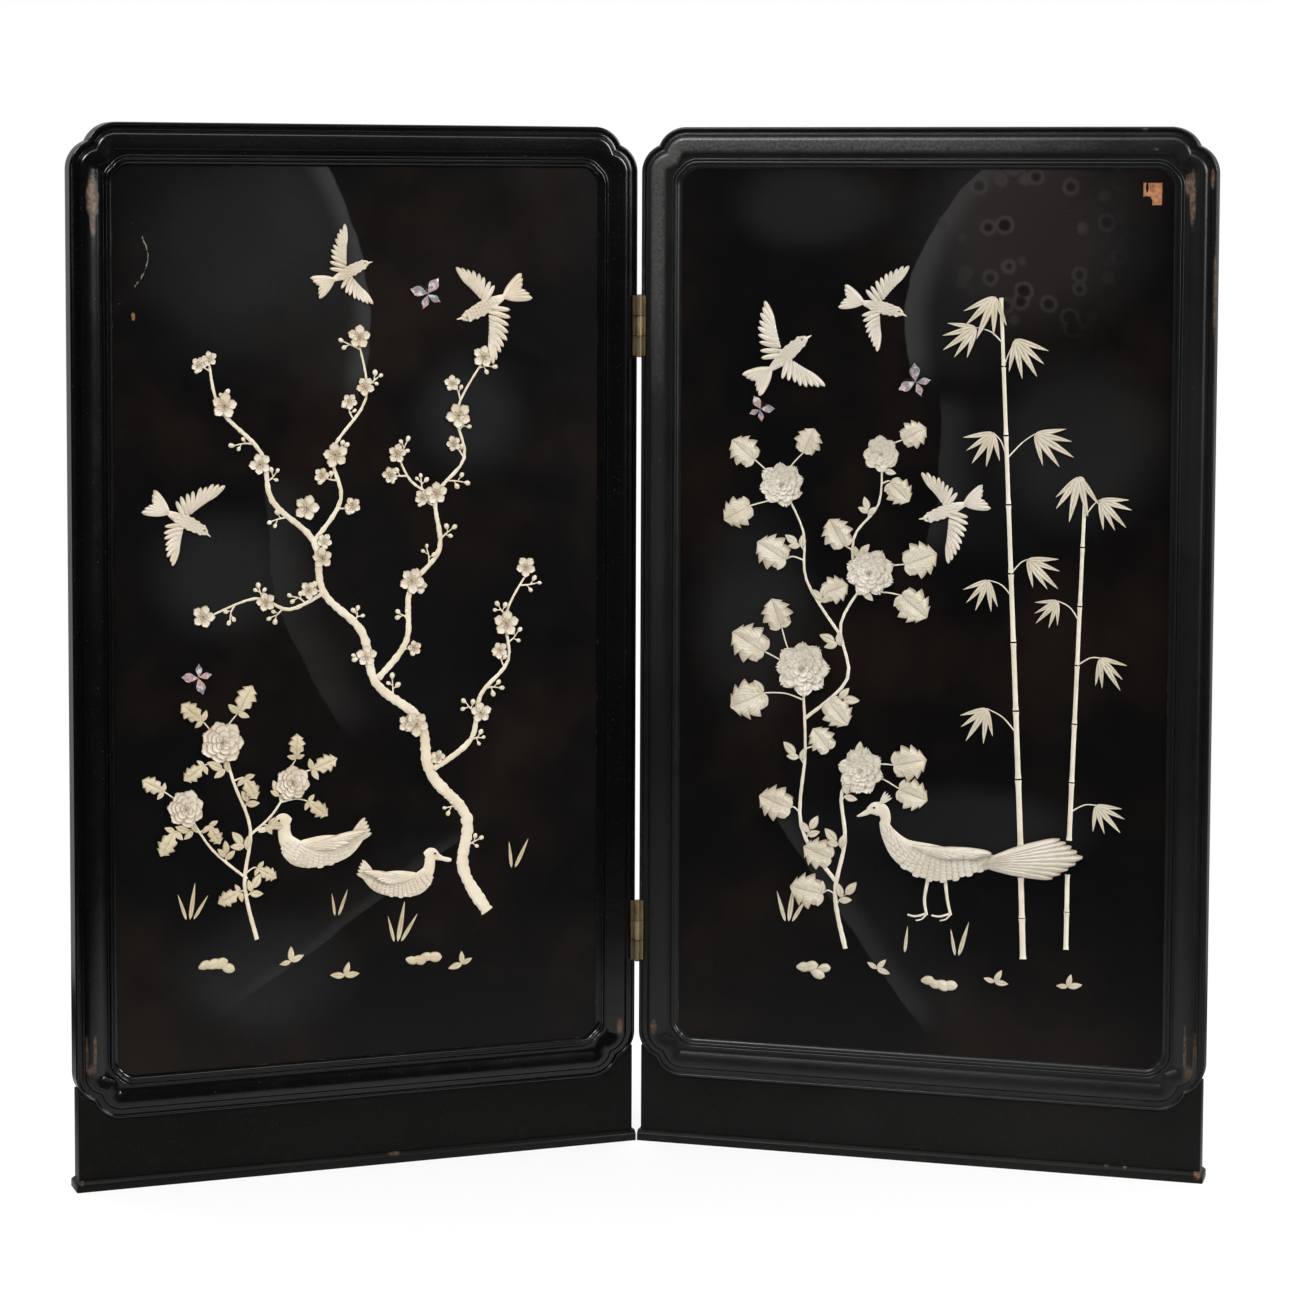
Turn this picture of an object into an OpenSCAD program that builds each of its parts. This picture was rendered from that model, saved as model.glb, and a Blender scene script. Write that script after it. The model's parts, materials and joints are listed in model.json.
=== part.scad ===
// Two-panel folding screen: two lacquered frames with lobed, moulded corners, hinged at the spine.
// A panel is drawn lying on its back: x runs out from its spine edge, y runs up the panel and
// z comes forward, with 0 at the crest of the moulding. on_right() and on_left() stand it up and
// fold it about the hinge pins. All sizes are in millimetres.

/* [Screen] */
// Overall height
screen_h = 1700; // [1600:10:1900]
// Width of one frame
panel_w = 945; // [880:5:1000]
// Angle that each panel stands forward of flat
panel_yaw = 17.8; // [0:0.1:60]

/* [Frame] */
// Thickness from the back to the crest of the moulding
frame_t = 42; // [40:1:50]
// Width of the rails and stiles
rail_w = 68; // [68:1:74]
// Radius of the two lobes at each outer corner
lobe_r = 48.5; // [47:0.5:50]
// Angle that each outer lobe turns before the cusp
lobe_turn = 67.4; // [62:0.1:68]
// Radius of the two lobes at each corner of the opening
opening_r = 20; // [20:1:24]
// Angle that each lobe of the opening turns before the cusp
opening_turn = 60; // [59:1:68]

/* [Moulding] */
// Width of the bead along the outer edge
edge_bead_w = 5.6; // [4:0.2:7]
// Drop from the crest to the top of that bead
edge_bead_drop = 3.5; // [3:0.1:4]
// Drop from the crest to the floor of the groove
groove_drop = 8; // [7.4:0.2:8.6]
// Distance from the outer edge to the small step
step_in = 11.5; // [9:0.5:12]
// Drop from the crest to the top of that step
step_drop = 6.2; // [5.6:0.1:6.8]
// Distance from the outer edge to the foot of the roll
roll_in = 14; // [13:0.5:16]
// Radius of the outer shoulder of the roll
shoulder_r = 9; // [8.8:0.2:11]
// Distance from the outer edge to the inner foot of the roll
roll_out = 45; // [42:0.5:45]
// Drop from the crest to the valley inside the roll
valley_drop = 5.5; // [4.6:0.1:6]
// Distance from the opening to the thick fine bead
thick_bead_in = 10.2; // [9.8:0.1:11]
// Radius of the thick fine bead
thick_bead_r = 2.3; // [1.8:0.1:2.5]
// Distance from the opening to the thin fine bead
thin_bead_in = 15.2; // [15:0.1:15.4]
// Radius of the thin fine bead
thin_bead_r = 1.8; // [1.2:0.1:2]
// Radius of the cove that falls to the picture board
cove_r = 7.5; // [6:0.1:8]
// Thickness of the lip left in front of the picture board
lip_t = 1; // [0.8:0.1:1.6]

/* [Boards] */
// Drop from the crest to the face of the picture board
board_drop = 10; // [9.6:0.1:12]
// Thickness of the picture board
board_t = 9; // [7:0.5:10]
// Thickness of the back board
back_t = 7; // [5:0.5:8]
// Depth of the back board behind the back of the frame
back_sunk = 4; // [3:0.5:5]
// Depth of the grooves that hold both boards
board_groove = 8; // [6:0.5:10]
// Room left at each edge of a board for the wood to move
board_play = 1; // [0.5:0.1:2]
// Height of the cross battens between the boards
batten_h = 60; // [40:5:80]
// Number of cross battens in each panel
batten_count = 3; // [2:1:4]
// Length of the tenon at each end of a batten
tenon_l = 12; // [8:1:16]
// Height of a batten's shoulder above and below its tenon
tenon_shoulder = 6; // [4:1:10]
// Thickness taken off each face of a batten at its tenon
tenon_cheek = 2; // [1:0.5:3]

/* [Base] */
// Height of the plinth
plinth_h = 18; // [14:1:24]
// Chamfer round the top of the plinth
plinth_chamfer = 6; // [4:0.5:8]
// Distance that the plinth stands beyond the side of the frame
plinth_out = 1; // [0.5:0.1:1.2]
// Distance that the plinth stands in front of the crest of the moulding
plinth_front = 1; // [0:0.1:1.2]
// Distance that the plinth stands behind the back of the frame
plinth_back = 7; // [4:0.5:10]
// Height of the apron between the plinth and the frame
apron_h = 95; // [80:1:120]
// Drop from the crest of the moulding to the face of the apron
apron_drop = 6; // [5:0.5:9]
// Distance that each side of the apron lies inside the frame
apron_in = 4; // [2:0.5:6]

/* [Joinery] */
// Thickness of the loose tongue in each mitre
key_t = 8; // [6:0.5:9]
// Width of the tongue along the mitre
key_w = 32; // [24:1:34]
// Length of the tongue across the mitre
key_l = 44; // [30:1:46]
// Radius of the dowels that carry the frame on the apron
dowel_r = 5; // [4:0.5:6]
// Length of those dowels
dowel_l = 50; // [30:2:60]
// Number of those dowels
dowel_count = 6; // [3:1:8]
// Radius of the shank of the plinth screws
plinth_screw_r = 2.2; // [1.8:0.1:3]
// Length of the plinth screws
plinth_screw_l = 52; // [40:1:60]
// Number of plinth screws in each panel
plinth_screw_count = 5; // [3:1:7]

/* [Hinges] */
// Height of the middle of the lower hinge above the floor
lower_hinge_z = 358; // [300:1:500]
// Distance from the top of the screen to the middle of the upper hinge
upper_hinge_drop = 328; // [250:1:450]
// Height of a hinge
hinge_h = 100; // [76:1:120]
// Distance from the spine edge of a frame to the pin axis
pin_gap = 1.5; // [1.4:0.1:3]
// Distance from the crest of the moulding forward to the pin axis
pin_proud = 1.5; // [1.4:0.1:3]
// Radius of the pin
pin_r = 2.2; // [1.6:0.1:2.6]
// Radius of the knuckles
knuckle_r = 4.6; // [4.2:0.1:5]
// Thickness of a leaf
leaf_t = 3; // [2.4:0.1:3.2]
// Depth that a leaf reaches back into the edge of the stile
leaf_depth = 27; // [22:1:32]
// Width of the lip that a leaf turns over the front edge
leaf_lip_w = 7.2; // [6:0.1:8]
// Thickness of that lip
leaf_lip_t = 4; // [3:0.1:4.4]
// Length of a hinge screw
hinge_screw_l = 22; // [14:1:30]
// Radius of the shank of a hinge screw
hinge_screw_r = 2; // [1.5:0.1:2.2]
// Radius of the head of a hinge screw
hinge_head_r = 4; // [3.4:0.1:4.4]

/* [Inlay] */
// Thickness that the inlay stands on the picture board
inlay_t = 2.4; // [1.5:0.1:4]
// Radius of a plum blossom
plum_r = 26; // [20:1:30]
// Radius of a peony
peony_r = 50; // [40:1:56]
// Radius of a camellia
camellia_r = 38; // [30:1:44]
// Length of a bamboo leaf
bamboo_leaf_l = 78; // [60:1:90]
// Length of a peony or camellia leaf
broad_leaf_l = 54; // [40:1:60]

/* [Fits] */
// Running clearance round a hinge pin
pin_fit = 0.05; // [0.02:0.01:0.1]
// Gap between two knuckles
knuckle_gap = 0.3; // [0.2:0.05:0.5]
// Clearance round fixed pieces that are let into each other
joint_fit = 0.1; // [0.05:0.01:0.2]
// Gap between two pieces of inlay
inlay_gap = 0.4; // [0.2:0.1:0.8]

/* [Hidden] */
$fn = 64;

frame_z = plinth_h + apron_h;
frame_h = screen_h - frame_z;
lobe_reach = reach(lobe_r, lobe_turn);
crest_in = roll_in + shoulder_r;
opening_reach = reach(opening_r, opening_turn);
fine_w = thin_bead_in + thin_bead_r + 0.3;
lobe_steps = 8;
wall_in = rail_w - 0.5;
back_w = roll_out - crest_in;
roll_back_r = (pow(back_w, 2) + pow(valley_drop, 2)) / (2 * valley_drop);
back_turn = asin(back_w / roll_back_r);
sunk = 1;
board_w = panel_w - 2 * (rail_w - board_groove);
board_h = frame_h - 2 * (rail_w - board_groove);
front_back_z = board_drop + board_t;
rear_front_z = frame_t - back_sunk - back_t;
core_z = (front_back_z + rear_front_z) / 2;
key_middle = (lobe_reach - lobe_r + rail_w) / 2 + 3;
hinge_heights = [lower_hinge_z, screen_h - upper_hinge_drop];
knuckle_l = (hinge_h - 2 * knuckle_gap) / 3;
pin_head_r = knuckle_r - 1;
pin_head_h = 2;
screw_spread = hinge_h / 3;
screw_z = -(leaf_depth + groove_drop) / 2;
board_middle = frame_z + frame_h / 2;
apron_z = (apron_drop + frame_t) / 2;

// Half the depth of the folded screen, so that the origin is under the middle of its box
depth_front = (panel_w + plinth_out + pin_gap) * sin(panel_yaw) + (plinth_front - pin_proud) * cos(panel_yaw);
depth_back = (frame_t + plinth_back + pin_proud) * cos(panel_yaw) - (pin_gap - plinth_out) * sin(panel_yaw);
pin_y = (depth_front - depth_back) / 2;

lacquer = "#191716";
lacquer_dull = "#262422";
raw_wood = "#8a6c4a";
brass = "#8c7350";
bone = "#e2d7bf";
pearl = "#b9b3c0";

// Distance from a square corner to where its lobe begins
function reach(r, turn) = r * (1 - cos(turn) + sin(turn));

// How far along x, and as far along y, an inset edge meets the mitre at a corner
function mitre_point(r, turn, inset) =
    r * (1 - cos(turn)) + inset / (sin(turn) + cos(turn));

// A point of a smooth curve through hand-set points
function curve_point(a, b, c, d, t) =
    0.5 * (2 * b + (c - a) * t + (2 * a - 5 * b + 4 * c - d) * t * t + (3 * b - a - 3 * c + d) * t * t * t);
function open_curve(p, n) = concat(
    [for (i = [0:len(p) - 2], k = [0:n - 1])
        curve_point(p[max(i - 1, 0)], p[i], p[i + 1], p[min(i + 2, len(p) - 1)], k / n)],
    [p[len(p) - 1]]);
function closed_curve(p, n) =
    [for (i = [0:len(p) - 1], k = [0:n - 1])
        curve_point(p[(i + len(p) - 1) % len(p)], p[i], p[(i + 1) % len(p)], p[(i + 2) % len(p)], k / n)];

// Places a panel that was drawn on its back at the right or the left of the spine
module on_right() {
    translate([0, pin_y, 0])
        rotate([0, 0, -panel_yaw])
            translate([pin_gap, pin_proud, 0])
                rotate([90, 0, 0])
                    children();
}
module on_left() {
    mirror([1, 0, 0]) on_right() children();
}

// Points along an arc, which the mouldings take in flats
function arc(middle, r, from, to, flats) =
    [for (i = [0:flats]) let (a = from + (to - from) * i / flats) middle + r * [cos(a), sin(a)]];

// The profile of the frame, as [edge it follows, distance from that edge, height]: first the back,
// the outer bead, the groove, the step and the wide roll, all drawn in from the lobed outer edge (0),
// then the two fine beads and the cove, drawn out from the edge of the opening (1), and last the
// straight wall behind the lip (2)
function side_profile() =
    let (bead_r = edge_bead_w / 2, cove_z = cove_r + lip_t - board_drop)
        concat(
            [for (p = concat(
                [[0, -frame_t]],
                arc([bead_r, -edge_bead_drop - bead_r], bead_r, 180, 0, 6),
                [[edge_bead_w, -groove_drop], [step_in, -groove_drop]],
                [[step_in, -step_drop], [roll_in, -step_drop]],
                arc([crest_in, -shoulder_r], shoulder_r, 180 - asin(1 - step_drop / shoulder_r), 90, 5),
                arc([crest_in, -roll_back_r], roll_back_r, 90 - back_turn / 4, 90 - back_turn, 3)
            )) [0, p[0], p[1]]],
            [for (p = concat(
                [[-fine_w, -valley_drop]],
                arc([-thin_bead_in, -valley_drop], thin_bead_r, 180, 0, 4),
                arc([-thick_bead_in, -valley_drop], thick_bead_r, 180, 0, 5),
                arc([0, cove_z], cove_r, 180 + asin((cove_z + valley_drop) / cove_r), 270, 3),
                [[0, -board_drop]]
            )) [1, -p[0], p[1]]],
            [[2, wall_in, -board_drop], [2, wall_in, -frame_t]]
        );

// Where a point of the profile stands at a step of the corner, from 0 just past the mitre to the
// last one, where the lobe runs out into the straight part
function lobe_place(s, step) =
    let (turn = lobe_turn * (1 - step / lobe_steps))
        step == 0
            ? mitre_point(lobe_r, lobe_turn, s) * [1, 1] + past_mitre(lobe_turn)
            : [lobe_reach - (lobe_r - s) * sin(turn), lobe_r - (lobe_r - s) * cos(turn)];
function opening_place(d, step) =
    let (
        at_mitre = 45 + asin((opening_reach - opening_r) / (sqrt(2) * (opening_r + d))),
        turn = at_mitre * (1 - step / lobe_steps),
        middle = rail_w * [1, 1] + [opening_reach, opening_r]
    )
        middle - (opening_r + d) * [sin(turn), cos(turn)] + (step == 0 ? past_mitre(at_mitre) : [0, 0]);
function past_mitre(turn) = sunk * [-cos(turn), sin(turn)];
function corner_place(p, step) =
    p[0] == 0 ? lobe_place(p[1], step)
    : p[0] == 1 ? opening_place(p[1], step)
    : [p[1] + opening_reach * step / lobe_steps - (step == 0 ? sunk : 0), p[1]];

// The triangles of a mitred end, given how many points follow the outer edge: a fan from the back
// of the wall behind the lip under the roll, and a fan from its front under the beads
function mitre_face(around, outer) =
    let (front = around - 2, back = around - 1)
        concat(
            [for (i = [0:outer - 1]) [back, i, i + 1]],
            [[back, outer, front]],
            [for (i = [outer:front - 2]) [front, i, i + 1]]
        );

// The moulded length from mitre to mitre: the profile carried round both corners in one skin
module moulding(length) {
    profile = side_profile();
    around = len(profile);
    last = 2 * lobe_steps + 1;
    points = [
        for (ring = [0:last], p = profile)
            let (
                near = ring <= lobe_steps,
                at = corner_place(p, near ? ring : last - ring)
            )
                [near ? at[0] : length - at[0], at[1], p[2]]
    ];
    cap = mitre_face(around, len([for (p = profile) if (p[0] == 0) p]));
    faces = concat(
        cap,
        [for (ring = [0:last - 1], i = [0:around - 1])
            let (a = ring * around + i, b = ring * around + (i + 1) % around)
                [a, a + around, b + around]],
        [for (ring = [0:last - 1], i = [0:around - 1])
            let (a = ring * around + i, b = ring * around + (i + 1) % around)
                [a, b + around, b]],
        [for (t = cap) [last * around + t[2], last * around + t[1], last * around + t[0]]]
    );
    polyhedron(points, faces);
}

// Places what is drawn for the start of a side at its start or its end
module at_end(end, length) {
    translate([end * length, 0, 0])
        mirror([end, 0, 0])
            children();
}

module mitre_key(fit) {
    translate([key_middle, key_middle, -core_z])
        rotate(45)
            cube([key_w + 2 * fit, key_l + 2 * fit, key_t + 2 * fit], center = true);
}

// One side of the frame, with its outer edge along x and mitred at both ends
module frame_side(length) {
    difference() {
        moulding(length);
        for (end = [0, 1])
            at_end(end, length)
                translate([0, 0, -frame_t - sunk])
                    rotate(45)
                        cube([lobe_reach + rail_w, opening_r, frame_t + 2 * sunk]);
        board_slot(length, front_back_z, board_t);
        board_slot(length, frame_t - back_sunk, back_t);
        for (end = [0, 1])
            at_end(end, length)
                mitre_key(joint_fit);
    }
}

// The groove for a board whose back lies at depth z
module board_slot(length, z, thickness) {
    inset = rail_w - board_groove;
    translate([inset, inset, -z])
        cube([length - 2 * inset, board_groove + sunk, thickness]);
}

module bottom_rail() {
    color(lacquer)
        difference() {
            translate([0, frame_z, 0])
                frame_side(panel_w);
            apron_dowel_set(joint_fit);
        }
}

module top_rail() {
    color(lacquer)
        translate([0, screen_h, 0])
            mirror([0, 1, 0])
                frame_side(panel_w);
}

module stile_at_spine() {
    translate([0, frame_z, 0])
        rotate(90)
            mirror([0, 1, 0])
                frame_side(frame_h);
}

module outer_stile() {
    color(lacquer)
        difference() {
            translate([panel_w, 0, 0])
                mirror([1, 0, 0])
                    stile_at_spine();
            batten_set(joint_fit);
        }
}

module hinge_stile() {
    color(lacquer)
        difference() {
            stile_at_spine();
            batten_set(joint_fit);
            for (h = hinge_heights)
                translate([-sunk, h - hinge_h / 2 - joint_fit, 0]) {
                    translate([0, 0, -leaf_depth - joint_fit])
                        cube([leaf_t + sunk, hinge_h + 2 * joint_fit, leaf_depth + sunk]);
                    translate([0, 0, -groove_drop])
                        cube([leaf_lip_w + joint_fit + sunk, hinge_h + 2 * joint_fit, groove_drop + sunk]);
                }
            hinge_screw_set(joint_fit);
        }
}

module panel_board(z, thickness) {
    inset = rail_w - board_groove + board_play;
    translate([inset, frame_z + inset, -z])
        cube([panel_w - 2 * inset, frame_h - 2 * inset, thickness]);
}

module picture_board() {
    color(lacquer)
        panel_board(front_back_z, board_t);
}

module back_board() {
    color(lacquer_dull)
        panel_board(frame_t - back_sunk, back_t);
}

// Cross battens between the boards, tenoned into the stiles
module batten_set(fit) {
    opening_h = frame_h - 2 * rail_w;
    thickness = rear_front_z - front_back_z;
    for (i = [1:batten_count])
        translate([panel_w / 2, frame_z + rail_w + opening_h * i / (batten_count + 1), -core_z]) {
            cube([panel_w - 2 * rail_w - 2 * joint_fit, batten_h, thickness], center = true);
            cube([panel_w - 2 * rail_w + 2 * tenon_l + 2 * fit, batten_h - 2 * tenon_shoulder + 2 * fit,
                thickness - 2 * tenon_cheek + 2 * fit], center = true);
        }
}

module core_battens() {
    color(raw_wood)
        batten_set(0);
}

module mitre_keys() {
    color(raw_wood)
        for (side = [0, 1], end = [0, 1])
            translate([side * panel_w, frame_z + end * frame_h, 0])
                mirror([side, 0, 0])
                    mirror([0, end, 0])
                        mitre_key(0);
}

// The apron rises in two ears beside the lobes of the frame
module apron() {
    ear_h = lobe_r * (1 - cos(lobe_turn)) - joint_fit;
    color(lacquer_dull)
        difference() {
            translate([0, 0, -frame_t]) {
                translate([apron_in, plinth_h, 0])
                    cube([panel_w - 2 * apron_in, apron_h - joint_fit, frame_t - apron_drop]);
                for (end = [0, 1])
                    at_end(end, panel_w)
                        difference() {
                            translate([apron_in, plinth_h, 0])
                                cube([lobe_reach - apron_in, apron_h + ear_h, frame_t - apron_drop]);
                            translate([lobe_reach, frame_z + lobe_r, -sunk])
                                cylinder(r = lobe_r + joint_fit, h = frame_t + 2 * sunk);
                        }
            }
            apron_dowel_set(joint_fit);
            plinth_screw_set(joint_fit);
        }
}

module apron_dowel_set(fit) {
    spacing = (panel_w - 2 * lobe_reach) / dowel_count;
    for (i = [0:dowel_count - 1])
        translate([lobe_reach + spacing * (i + 0.5), frame_z - dowel_l / 2 - fit, -apron_z])
            rotate([-90, 0, 0])
                cylinder(r = dowel_r + fit / 2, h = dowel_l + 2 * fit);
}

module apron_dowels() {
    color(raw_wood)
        apron_dowel_set(0);
}

module plinth() {
    depth = plinth_front + frame_t + plinth_back;
    color(lacquer)
        difference() {
            intersection() {
                translate([-plinth_out, 0, -frame_t - plinth_back])
                    rotate([90, 0, 90])
                        linear_extrude(panel_w + 2 * plinth_out)
                            chamfered_block(depth);
                translate([0, 0, -frame_t - plinth_back])
                    linear_extrude(depth)
                        translate([-plinth_out, 0])
                            plinth_front_outline();
            }
            plinth_screw_set(joint_fit);
        }
}

// End outline of the plinth: x runs up it and y runs forward
module chamfered_block(depth) {
    polygon([
        [0, 0], [plinth_h - plinth_chamfer, 0], [plinth_h, plinth_chamfer],
        [plinth_h, depth - plinth_chamfer], [plinth_h - plinth_chamfer, depth], [0, depth]
    ]);
}

module plinth_front_outline() {
    w = panel_w + 2 * plinth_out;
    polygon([
        [0, 0], [w, 0], [w, plinth_h - plinth_chamfer], [w - plinth_chamfer, plinth_h],
        [plinth_chamfer, plinth_h], [0, plinth_h - plinth_chamfer]
    ]);
}

// A countersunk screw whose head starts at the origin and whose shank runs up z
module wood_screw(head_r, shank_r, length, fit) {
    cylinder(r1 = head_r + fit, r2 = shank_r + fit, h = head_r - shank_r);
    cylinder(r = shank_r + fit, h = length + fit);
    if (fit > 0)
        translate([0, 0, -sunk])
            cylinder(r = head_r + fit, h = sunk);
}

module plinth_screw_set(fit) {
    spacing = (panel_w - 2 * lobe_reach) / (plinth_screw_count - 1);
    for (i = [0:plinth_screw_count - 1])
        translate([lobe_reach + spacing * i, sunk, -apron_z])
            rotate([-90, 0, 0])
                wood_screw(2 * plinth_screw_r, plinth_screw_r, plinth_screw_l, fit);
}

module plinth_screws() {
    color("silver")
        plinth_screw_set(0);
}

module hinge_screw_set(fit) {
    for (h = hinge_heights, i = [-1:1])
        translate([0, h + i * screw_spread, screw_z])
            rotate([0, 90, 0])
                wood_screw(hinge_head_r, hinge_screw_r, hinge_screw_l, fit);
}

module hinge_screws() {
    color(brass)
        hinge_screw_set(0);
}

// A cylinder along the pin axis of a hinge, from height a to height b above its lower end
module pin_cylinder(middle, a, b, r) {
    translate([-pin_gap, middle - hinge_h / 2 + a, pin_proud])
        rotate([-90, 0, 0])
            cylinder(r = r, h = b - a);
}

module hinge_leaf(middle, own, other) {
    pitch = knuckle_l + knuckle_gap;
    color(brass)
        difference() {
            union() {
                translate([0, middle - hinge_h / 2, -leaf_depth])
                    cube([leaf_t, hinge_h, leaf_depth + pin_proud]);
                translate([0, middle - hinge_h / 2, -groove_drop])
                    cube([leaf_lip_w, hinge_h, leaf_lip_t]);
                for (k = own)
                    pin_cylinder(middle, k * pitch, k * pitch + knuckle_l, knuckle_r);
            }
            for (k = other)
                pin_cylinder(middle, k * pitch - knuckle_gap, k * pitch + knuckle_l + knuckle_gap,
                    knuckle_r + knuckle_gap);
            pin_cylinder(middle, -sunk, hinge_h + sunk, pin_r + pin_fit);
            hinge_screw_set(pin_fit);
        }
}

module hinge_pin(middle) {
    color(brass) {
        pin_cylinder(middle, 0, hinge_h, pin_r);
        pin_cylinder(middle, -pin_head_h, 0, pin_head_r);
        pin_cylinder(middle, hinge_h, hinge_h + pin_head_h, pin_head_r);
    }
}

// Inlay outlines, drawn as they are seen from the front, from the middle of the picture board

// A pointed leaf of the given length and width, with its stalk end at the origin
module pointed(length, width) {
    r = (pow(length, 2) + pow(width, 2)) / (4 * width);
    intersection() {
        translate([length / 2, r - width / 2])
            circle(r, $fn = 180);
        translate([length / 2, width / 2 - r])
            circle(r, $fn = 180);
    }
}

// A tapering stroke along a smooth curve
module stroke(points, start_w, end_w) {
    c = open_curve(points, 4);
    n = len(c) - 1;
    side = [for (i = [0:n])
        let (d = c[min(i + 1, n)] - c[max(i - 1, 0)], half = (start_w + (end_w - start_w) * i / n) / 2)
            half * [-d[1], d[0]] / norm(d)];
    polygon(concat([for (i = [0:n]) c[i] + side[i]], [for (i = [n:-1:0]) c[i] - side[i]]));
}

// A round flower of overlapping petals
module rosette(r, petals, petal_share, grow) {
    petal_r = r * petal_share;
    for (i = [0:petals - 1])
        rotate(360 * i / petals)
            translate([r - petal_r, 0])
                circle(petal_r + grow);
    circle(r - petal_r + grow);
}

// A broad leaf of three points
module broad_leaf(length, grow) {
    circle(length / 18 + grow);
    for (a = [-38, 0, 38])
        rotate(a)
            translate([-grow, 0])
                pointed(length * (a == 0 ? 1 : 0.72) + 2 * grow, length * 0.34 + 2 * grow);
}

// Each flower is [x, y, size as a share of the full size, turn]
plums = [
    [-226, 345, 1, 10], [-168, 250, 0.85, 40], [-92, 178, 1, 0], [-66, 96, 0.8, 25], [-4, 452, 0.9, 15],
    [6, 372, 0.75, 50], [-44, 262, 1, 30], [206, 418, 0.85, 5], [164, 322, 1, 45], [126, 196, 0.9, 20],
    [84, 54, 1, 60], [-262, 8, 0.9, 0], [-160, 28, 0.75, 33], [246, -22, 1, 12], [280, 70, 0.8, 48],
    [202, -168, 0.85, 22], [92, -182, 1, 52], [8, -66, 0.85, 18], [60, 262, 0.75, 8], [-250, 420, 0.6, 30]
];
// Each bough is [points, width at its start, width at its end]
boughs = [
    [[[214, -500], [172, -425], [178, -340], [116, -264], [98, -176], [24, -112], [0, -26], [-64, 40],
        [-80, 124], [-148, 190], [-166, 268], [-232, 338], [-250, 410]], 27, 5],
    [[[122, -258], [186, -212], [202, -140], [250, -84], [246, -8], [284, 62]], 12, 4],
    [[[28, -104], [76, -44], [82, 40], [132, 104], [126, 190], [174, 252], [162, 330], [206, 410]], 13, 4],
    [[[-58, 42], [-120, 14], [-176, 34], [-256, 6]], 8, 3],
    [[[-80, 122], [-34, 190], [-48, 268], [8, 352], [-4, 444]], 9, 3],
    [[[128, 188], [84, 216], [60, 262]], 6, 3]
];
camellias = [[-232, -196, 1, 0], [-292, -300, 0.85, 20], [-116, -268, 0.8, 40]];
camellia_stems = [
    [[[-176, -520], [-196, -430], [-186, -340], [-214, -260], [-230, -200]], 8, 4],
    [[[-192, -420], [-250, -368], [-290, -304]], 6, 3],
    [[[-188, -350], [-150, -318], [-120, -272]], 6, 3]
];
// Each leaf is [x, y, length as a share of the full size, direction]
camellia_leaves = [
    [-206, -150, 1, 62], [-264, -160, 0.9, 140], [-262, -232, 0.8, 214], [-196, -256, 0.8, 300],
    [-328, -270, 0.8, 150], [-310, -336, 0.9, 238], [-254, -330, 0.7, 300], [-84, -248, 0.9, 22],
    [-110, -228, 0.8, 88], [-90, -300, 0.8, 322], [-204, -440, 0.8, 205], [-174, -404, 0.7, 330]
];
grass = [
    [60, -540, 0.9, 80], [66, -540, 0.7, 58], [54, -540, 0.6, 104], [-40, -490, 0.6, 70], [-46, -490, 0.5, 98],
    [-286, -480, 0.8, 82], [-292, -480, 0.6, 108], [-280, -480, 0.6, 58], [262, -430, 0.7, 64], [256, -430, 0.6, 96]
];
ducks = [[-80, -384, 1, 0, 0], [72, -446, 0.86, 0, 1]];
duck_outline = [
    [-92, 28], [-74, 40], [-62, 54], [-44, 62], [-26, 52], [-20, 34], [4, 26], [40, 24], [66, 32], [96, 48],
    [88, 22], [62, -6], [16, -24], [-28, -20], [-54, 0], [-52, 20], [-70, 24]
];
swallows = [[210, 500, 1, 205], [-20, 556, 0.8, 24], [-290, 160, 0.9, 330]];
left_moths = [[112, 520, 1, 20], [-270, -90, 0.9, 140]];

peonies = [[-196, -96, 1, 0], [-84, 66, 0.9, 20], [-232, 208, 0.82, 10], [-96, -262, 0.86, 30], [-66, 262, 0.66, 45]];
peony_stems = [
    [[[-120, -560], [-138, -470], [-122, -380], [-128, -300], [-96, -262]], 9, 5],
    [[[-136, -450], [-196, -360], [-190, -230], [-196, -110]], 8, 5],
    [[[-192, -180], [-120, -110], [-132, -20], [-84, 60]], 7, 4],
    [[[-132, -40], [-190, 50], [-196, 130], [-232, 204]], 6, 4],
    [[[-104, 30], [-112, 120], [-70, 180], [-66, 256]], 5, 3]
];
peony_leaves = [
    [-262, -70, 1, 150], [-262, -140, 1, 205], [-150, -150, 0.8, 310], [-232, -28, 0.8, 110],
    [-24, 82, 0.9, 20], [-30, 30, 0.9, 320], [-128, 110, 0.8, 120], [-280, 248, 0.8, 140],
    [-196, 262, 0.7, 66], [-288, 170, 0.8, 210], [-30, 286, 0.7, 28], [-50, 214, 0.7, 316],
    [-40, -250, 0.9, 12], [-30, -290, 0.8, 340], [-150, -228, 0.7, 130], [-160, -470, 0.9, 170],
    [-146, -410, 0.8, 160], [-216, -330, 0.9, 160], [-226, 84, 0.9, 150], [-160, 30, 0.7, 20]
];
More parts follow.
